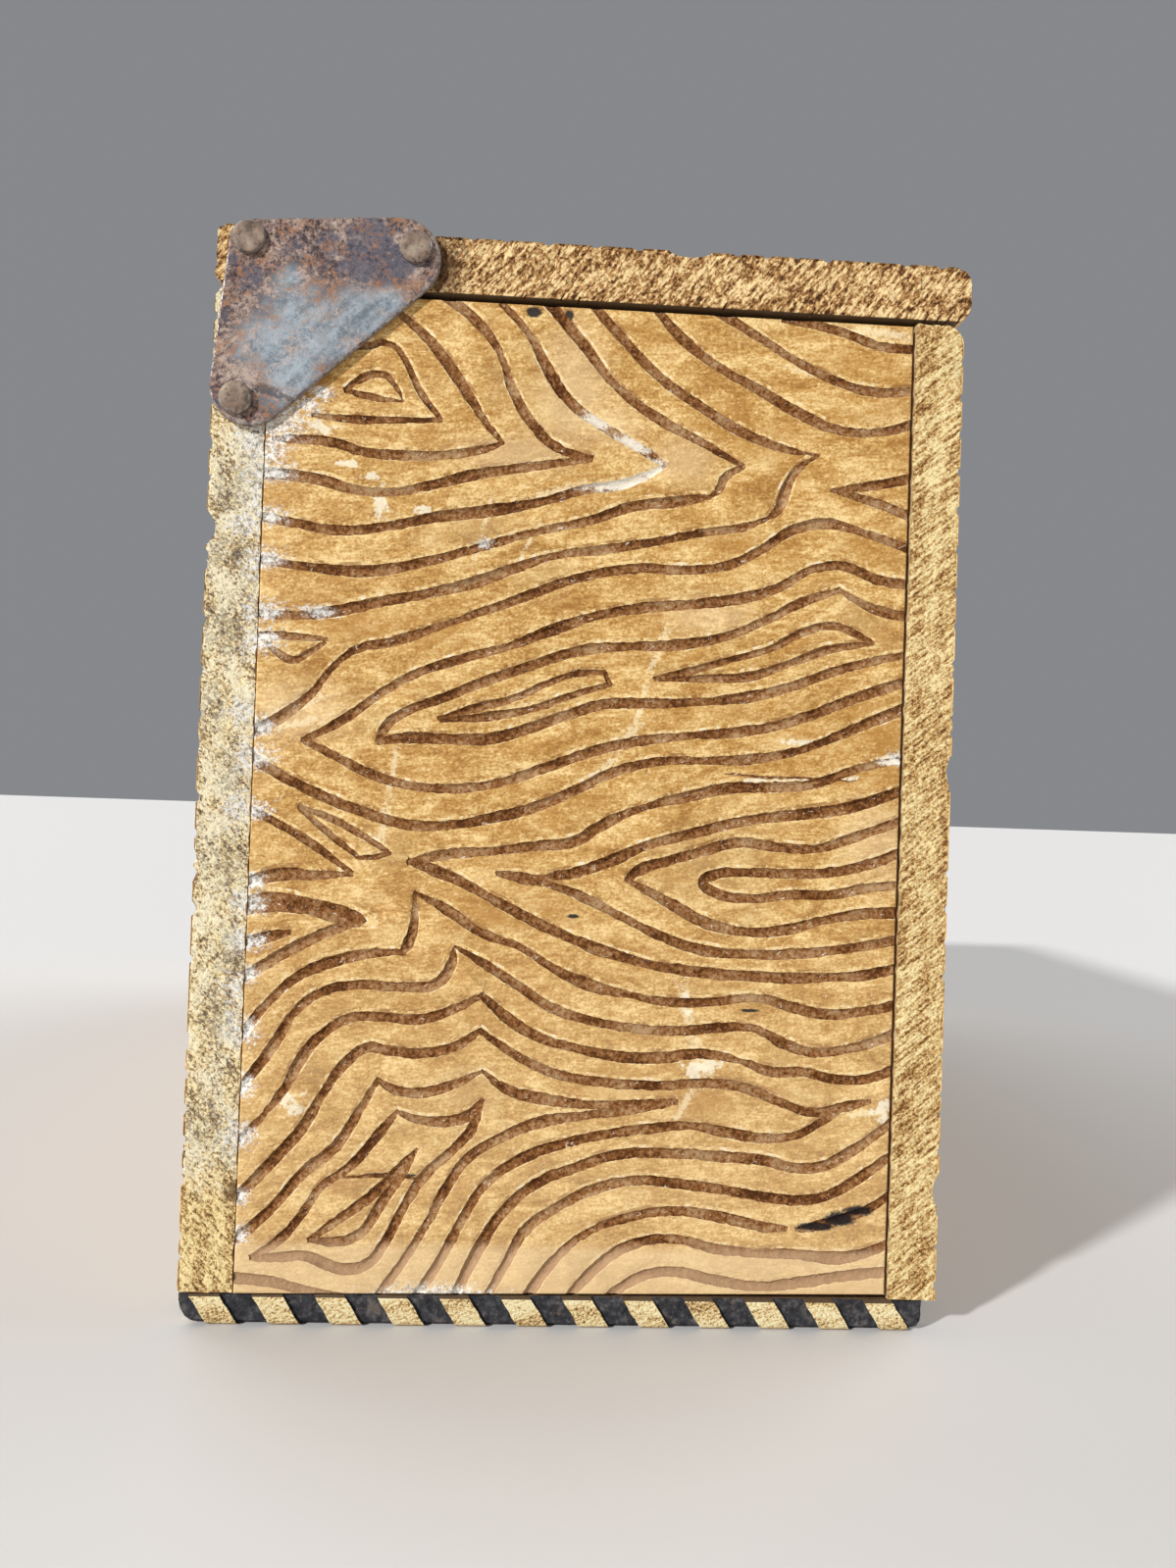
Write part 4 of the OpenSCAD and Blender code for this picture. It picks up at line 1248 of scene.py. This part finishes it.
boards = {
    "right_end_panel": {
        "name": "farEndPanel", "body": "box", "skins": ("farPanel", "insideEnd"), "groove": "farGroove",
        "skin": lambda normal: 0 if normal.x > 0.5 else 1,
        "cut": (1.5, 0.55), "trim": nearPanel["gaps"], "rounds": panelRounds(1), "rough": None, "scars": [],
        "eyes": [(24, 118, 4, 0.10, 0), (104, 84, 10, 0.05, 2), (30, 48, 8, 0.12, 1),
                 (90, 14, 6, -0.10, 0)],
    },
    "front_board": {
        "name": "frontBoard", "body": "box", "skins": ("frontWood", "frontEnd", "insideLong"),
        "groove": "frontGroove",
        "skin": lambda normal: 0 if normal.y < -0.5 else 1 if abs(normal.x) > 0.6 else 2,
        "cut": (1.5, 0.36), "trim": (0, 0, 0), "rough": {"depth": 0.38, "along": 3.4}, "chips": 2,
        "brads": "front_brads",
        "rounds": [(0, {1: 0, 2: 1}, 3.0), (2, {1: 0}, 0.5), (0, {1: 1, 2: 1}, 0.5)],
        "scars": nicks(-4, 1, 6, [
            (16.2, 5.6, 0.95), (79, 4.2, 0.65), (93.6, 2.6, 0.3), (22.8, 2.6, 0.3), (87, 1.6, 0.3)]),
        "eyes": [(44, 112, 10, 0.08, 0), (146, 84, 16, -0.05, 1), (52, 34, 12, 0.10, 2),
                 (238, 116, 16, 0.04, 0),
                 (214, 30, 18, -0.08, 0), (310, 68, 10, 0.10, 2), (-14, 70, 6, 0.10, 0),
                 (128, 156, 10, 0, 0),
                 (132, -8, 10, 0, 1)],
    },
    "back_board": {
        "name": "backBoard", "body": "box", "skins": ("backWood", "backEnd", "insideLong"),
        "groove": "backGroove",
        "skin": lambda normal: 0 if normal.y > 0.5 else 1 if abs(normal.x) > 0.6 else 2,
        "cut": (1.9, 0.55), "trim": (0, 0, 0), "rough": {"depth": 0.38, "along": 1.8}, "chips": 2,
        "brads": "back_brads",
        "rounds": [(0, {1: 1, 2: 1}, 2.6), (2, {1: 1}, 0.5), (0, {1: 0, 2: 1}, 0.5)],
        "scars": nicks(297, 303, 312, [
            (110.6, 4.9, 1.35), (106.6, 2.2, 0.6), (123, 2.4, 0.5), (117.6, 2.8, 0.4), (101.8, 2.2, 0.3),
            (89.6, 1.8, 0.45), (79, 8.0, 0.3), (62.8, 3.0, 0.45), (35.6, 2.0, 0.45), (31.2, 2.0, 0.3),
            (26, 1.6, 0.4), (20.4, 2.8, 0.4), (16, 2.2, 0.75), (8, 2.6, 0.4)]),
        "eyes": [(58, 104, 14, -0.08, 0), (166, 112, 14, 0.05, 2), (112, 42, 16, 0.10, 0),
                 (232, 66, 18, -0.06, 1),
                 (6, 36, 8, 0.06, 2), (312, 118, 10, 0.06, 0), (300, 14, 12, -0.10, 1),
                 (176, -12, 12, 0, 0)],
    },
    "lid_board": {
        "name": "lidBoard", "body": "lid", "skins": ("lidWood", "lidEnd", "insideFlat"),
        "groove": "lidGroove",
        "skin": lambda normal: 2 if normal.z < -0.9 else 1 if abs(normal.x) > 0.5 else 0,
        "cut": (1.5, 0.34), "trim": (0, 0, 0), "rough": {"depth": 0.58, "along": 1.6, "lip": 1.3},
        "chips": 1,
        "rounds": [(0, {1: 0, 2: 0}, 3.0), (0, {1: 0, 2: 1}, 2.7), (0, {1: 1, 2: 1}, 1.6),
                   (0, {1: 1, 2: 0}, 1.2),
                   (1, {2: 0}, 1.1), (1, {2: 1}, 0.3)],
        "scars": [([(-4, 43), (10, 43.6), (24, 44.8), (34, 45.6)], 7.5, 1.15)],
        "eyes": [(52, 82, 14, 0.06, 0), (148, 48, 18, -0.05, 1), (40, 16, 12, 0.08, 2),
                 (238, 86, 16, 0.05, 0),
                 (246, 8, 14, -0.06, 1), (318, 50, 8, 0.08, 0), (146, 122, 12, 0, 1)],
    },
}
chips = {  # along the edges of each end
    "step": 16.0, "pace": (0.3, 1.7), "radius": (0.4, 1.0), "mostSmall": 1.5, "bite": 0.24, "long": 2.4,
    "ragged": 0.35, "lumpsPerMetre": 900, "seed": 12,
}
lidSplits = {  # each place is across, and its share of the height
    "deep": 2.4, "tall": 1.0, "wide": 0.42, "tip": 0.3, "lean": 32,
    "places": [(-37, 0.8), (-42.4, 1.1), (-45, 0.7), (-66.6, 1.3), (-80, 0.9), (-97.2, 1.2),
               (-99, 1.6), (-100.6, 2.0), (-102.2, 1.7), (-104, 1.3)],
}


def chipCutters(cutters, node, edgeAxis, paint):
    low, high = nodeBox[node]
    other = 3 - edgeAxis  # the end's other axis, since the ends face along X
    picker = random.Random(chips["seed"] + edgeAxis + len(node))
    for endX in (low.x, high.x):
        for side in (low[other], high[other]):
            spot = low[edgeAxis] + chips["step"] * mm * picker.random()
            while spot < high[edgeAxis]:
                radius = picker.uniform(*chips["radius"]) ** chips["mostSmall"] * mm
                place = Vector((endX, 0, 0))
                place[edgeAxis] = spot
                place[other] = side
                inward = Vector([math.copysign(1, part) for part in (low + high) / 2 - place])
                inward[edgeAxis] = 0
                place -= inward * radius * (1 - chips["bite"])
                bm = bmesh.new()
                bmesh.ops.create_icosphere(bm, subdivisions=2, radius=radius)
                for vert in bm.verts:
                    vert.co[edgeAxis] *= chips["long"]
                    vert.co *= 1 + chips["ragged"] * noise.noise((vert.co + place) * chips["lumpsPerMetre"])
                addCutter(cutters, bm, Matrix.Translation(place), paint)
                spot += chips["step"] * mm * picker.uniform(*chips["pace"])


def splitLid(cutters):
    low = nodeBox["lid_board"][0]
    turn = Matrix.Rotation(math.radians(lidSplits["lean"]), 4, "X")
    for across, share in lidSplits["places"]:
        bm = bmesh.new()
        size = Vector((lidSplits["deep"], lidSplits["wide"], 2 * lidSplits["tall"] * share)) * mm
        bmesh.ops.create_cube(bm, size=1, matrix=Matrix.Diagonal((*size, 1)))
        for vert in bm.verts:
            vert.co.y *= lidSplits["tip"] if vert.co.z > 0 else 1
        place = Vector((low.x, nodeBox["left_end_panel"][1].y + across * mm, low.z))
        # the splits take the dark groove paint, painted shade inside the cracks
        addCutter(cutters, bm, Matrix.Translation(place) @ turn, paints["lidGroove"])


def makeBoards():
    for node, board in boards.items():
        face = faces[node]
        groove = paints[board["groove"]]
        skins = [paints[skin] for skin in board["skins"]]
        bm = boardBlank(node, boardShape["boardCell"], board["rounds"], board["skin"], board["trim"],
                        board["rough"])
        cutters = bpy.data.collections.new("cutters")
        width, depth = board["cut"]
        for points, closed in grainLines(face["size"], board["eyes"]):
            grooveCutter(cutters, face, groove, points, width, depth, closed)
        if "brads" in board:
            bradHoles(cutters, board["brads"], 1, groove)
        if "chips" in board:
            chipCutters(cutters, node, board["chips"], skins[1])
        for points, width, depth in board["scars"]:
            grooveCutter(cutters, face, skins[0], points, width, depth)
        if node == "lid_board":
            splitLid(cutters)
        settle(carve(bm, board["name"], skins, cutters), board["body"], node)


makeBoards()


# Bottom board: slanted burnt stripes all round its edge

stripes = {"pitch": 9.0, "width": 4.6, "slant": 0.63, "depth": 0.5, "reach": 2, "first": 8.1, "rough": 0.2,
           "cuts": 7}
bottom = {"endRound": 1.0, "frontRound": 2.4, "backRound": 3.6, "topFront": 0.9, "topBack": 0.6}


def stripeCutters(cutters, corner, across, length, height, radius):
    place = faceFrame(corner, across, (0, 0, 1))
    for i in range(-1, math.ceil(length / stripes["pitch"]) + 1):
        bm = bmesh.new()
        bmesh.ops.create_cube(bm, size=1)
        bmesh.ops.subdivide_edges(bm, edges=bm.edges[:], cuts=stripes["cuts"], use_grid_fill=True)
        for vert in bm.verts:
            up = vert.co.y * (height + 2) - height / 2
            lift = min(radius, max(0, height + up))
            drop = radius - math.sqrt(radius ** 2 - (radius - lift) ** 2)  # the board rounds away at its foot
            along = stripes["first"] + i * stripes["pitch"] + vert.co.x * stripes["width"]
            along -= up * stripes["slant"]
            out = (vert.co.z + 0.5) * stripes["reach"] - stripes["depth"] - drop
            shake = noise.noise_vector(Vector((along * 0.9, up * 0.9, i))) * stripes["rough"]
            vert.co = (along + shake.x, up, out + shake.z * 0.6)
        addCutter(cutters, bm, place, paints["char"])


def makeBottom():
    node = "bottom_board"
    low, high = nodeBox[node]
    length, width, height = (high - low) / mm
    rounds = [(0, {1: 1, 2: 0}, bottom["backRound"]), (0, {1: 0, 2: 0}, bottom["frontRound"]),
              (0, {1: 1, 2: 1}, bottom["topBack"]), (0, {1: 0, 2: 1}, bottom["topFront"]),
              (None, {0: 0}, bottom["endRound"]), (None, {0: 1}, bottom["endRound"])]
    bm = boardBlank(node, boardShape["boardCell"], rounds,
                    lambda normal: 1 if normal.z > 0.5 else 2 if normal.z < -0.7 else 0)
    cutters = bpy.data.collections.new("cutters")
    stripeCutters(cutters, (low.x, high.y, high.z), (0, -1, 0), width, height, bottom["endRound"])
    stripeCutters(cutters, (high.x, low.y, high.z), (0, 1, 0), width, height, bottom["endRound"])
    stripeCutters(cutters, (low.x, low.y, high.z), (1, 0, 0), length, height, bottom["frontRound"])
    stripeCutters(cutters, (high.x, high.y, high.z), (-1, 0, 0), length, height, bottom["backRound"])
    bradHoles(cutters, "bottom_brads", 2, paints["char"])
    board = carve(bm, "bottomBoard", [paints["stripEnd"], paints["insideFlat"], paints["insideLong"]],
                  cutters)
    settle(board, "box", node)


makeBottom()


# Nails and brads: turned heads, a little beaten

nails = {
    "left_pivot_nail": ("leftPivotNail", "box"), "right_pivot_nail": ("rightPivotNail", "box"),
    "left_lid_nails": ("leftLidNails", "lid"), "right_lid_nails": ("rightLidNails", "lid"),
    "front_brads": ("frontBrads", "box"), "back_brads": ("backBrads", "box"),
    "bottom_brads": ("bottomBrads", "box"),
}
nailKinds = {  # height of the head, shank as a share of the head's radius, depth below the wood
    "nail": {"head": 0.9, "shank": 0.46, "sunk": 0},
    "brad": {"head": 0.6, "shank": 0.58, "sunk": 0.25},
}
nailHead = {
    "rim": [(0.0, 0.0), (0.45, 0.0), (0.84, 0.03), (0.94, 0.12), (1.0, 0.36), (1.0, 0.90), (0.92, 1.0)],
    "steps": 28, "sharp": 32, "rubbedAndHighlit": (0.2, 0.93),  # how far a rubbed face turns to the side; those faces take the rim paint, worn metal with a painted highlight
    "beaten": 0.07, "dentsPerMetre": 900, "shiver": 0.04, "shiversPerMetre": 700,
}


def nailProfile(kind, headRadius, length):
    height = kind["head"] * mm
    shank = headRadius * kind["shank"]
    points = [(headRadius * r, -height * h) for r, h in nailHead["rim"]]
    return points + [(shank, -height), (shank, shank * 2 - length), (0.0, -length)]


def turnNail(profile, top, outward):
    bm = bmesh.new()
    verts = [bm.verts.new((radius, 0, height)) for radius, height in profile]
    edges = [bm.edges.new(pair) for pair in zip(verts, verts[1:])]
    bmesh.ops.spin(bm, geom=verts + edges, axis=(0, 0, 1), cent=(0, 0, 0), angle=math.tau,
                   steps=nailHead["steps"], use_merge=True)
    bmesh.ops.remove_doubles(bm, verts=bm.verts, dist=1e-6)
    place = Matrix.Translation(top) @ outward.to_track_quat("Z", "Y").to_matrix().to_4x4()
    bmesh.ops.transform(bm, verts=bm.verts, matrix=place)
    for vert in bm.verts:
        dent = noise.noise(vert.co * nailHead["dentsPerMetre"]) - 0.3
        vert.co += outward * min(0, dent) * nailHead["beaten"] * mm
        vert.co += noise.noise_vector(vert.co * nailHead["shiversPerMetre"]) * nailHead["shiver"] * mm
    bmesh.ops.recalc_face_normals(bm, faces=bm.faces)
    least, most = nailHead["rubbedAndHighlit"]
    # faces turned partly aside take the rim paint, worn metal with a painted highlight
    for face in bm.faces:
        face.material_index = 1 if least < face.normal.dot(outward) < most else 0
    mesh = bpy.data.meshes.new("nail")
    bm.to_mesh(mesh)
    bm.free()
    return mesh


def makeNails():
    for node, (name, body) in nails.items():
        kind = nailKinds["brad" if node.endswith("brads") else "nail"]
        whole = bmesh.new()
        for low, high in solidBoxes(node):
            size = high - low
            axis = longAxis(size)
            middle = (low + high) / 2
            outward = unit(axis) * (-1 if node == "bottom_brads" or middle[axis] < 0 else 1)
            top = middle + outward * (size[axis] / 2 - kind["sunk"] * mm)
            mesh = turnNail(nailProfile(kind, size[(axis + 1) % 3] / 2, size[axis]), top, outward)
            whole.from_mesh(mesh)
            bpy.data.meshes.remove(mesh)
        piece = makePiece(whole, name, [paints["nail"], paints["rim"]])
        piece.data.set_sharp_from_angle(angle=math.radians(nailHead["sharp"]))
        settle(piece, body, node)


makeNails()
print("nails and brads turned")


# Hinge plates: cut sheet with softened edges and a few dents

plates = {"left_hinge_plate": ("leftHingePlate", "tin"), "right_hinge_plate": ("rightHingePlate", "farTin")}
plateShape = {"edge": 0.25, "cell": 1.2, "dent": 0.10, "dentsPerMetre": 95, "sharp": 40}


def makePlates():
    for node, (name, paint) in plates.items():
        low, high = nodeBox[node]
        bm = bmesh.new()
        bm.from_mesh(frame["nodes"][node].data)
        bmesh.ops.remove_doubles(bm, verts=bm.verts, dist=1e-6)
        bmesh.ops.dissolve_limit(bm, angle_limit=math.radians(1), verts=bm.verts, edges=bm.edges)
        rim = [e for e in bm.edges if len(e.link_faces) == 2 and e.calc_face_angle() > math.radians(60)]
        worn = bmesh.ops.bevel(bm, geom=rim, offset=plateShape["edge"] * mm, segments=2, profile=0.5,
                               affect="EDGES", material=-1)["faces"]
        # the bevel faces take the rim paint, worn metal with a painted highlight
        for face in worn:
            face.material_index = 1
        sliceUp(bm, low, high, plateShape["cell"], (1, 2))
        outside = -1 if low.x < 0 else 1
        for vert in bm.verts:
            spot = Vector((3.1, vert.co.y * plateShape["dentsPerMetre"],
                           vert.co.z * plateShape["dentsPerMetre"]))
            vert.co.x += outside * noise.noise(spot) * plateShape["dent"] * mm
        piece = makePiece(bm, name, [paints[paint], paints["rim"]])
        piece.data.set_sharp_from_angle(angle=math.radians(plateShape["sharp"]))
        settle(piece, "lid", node)


makePlates()
print("hinge plates cut")
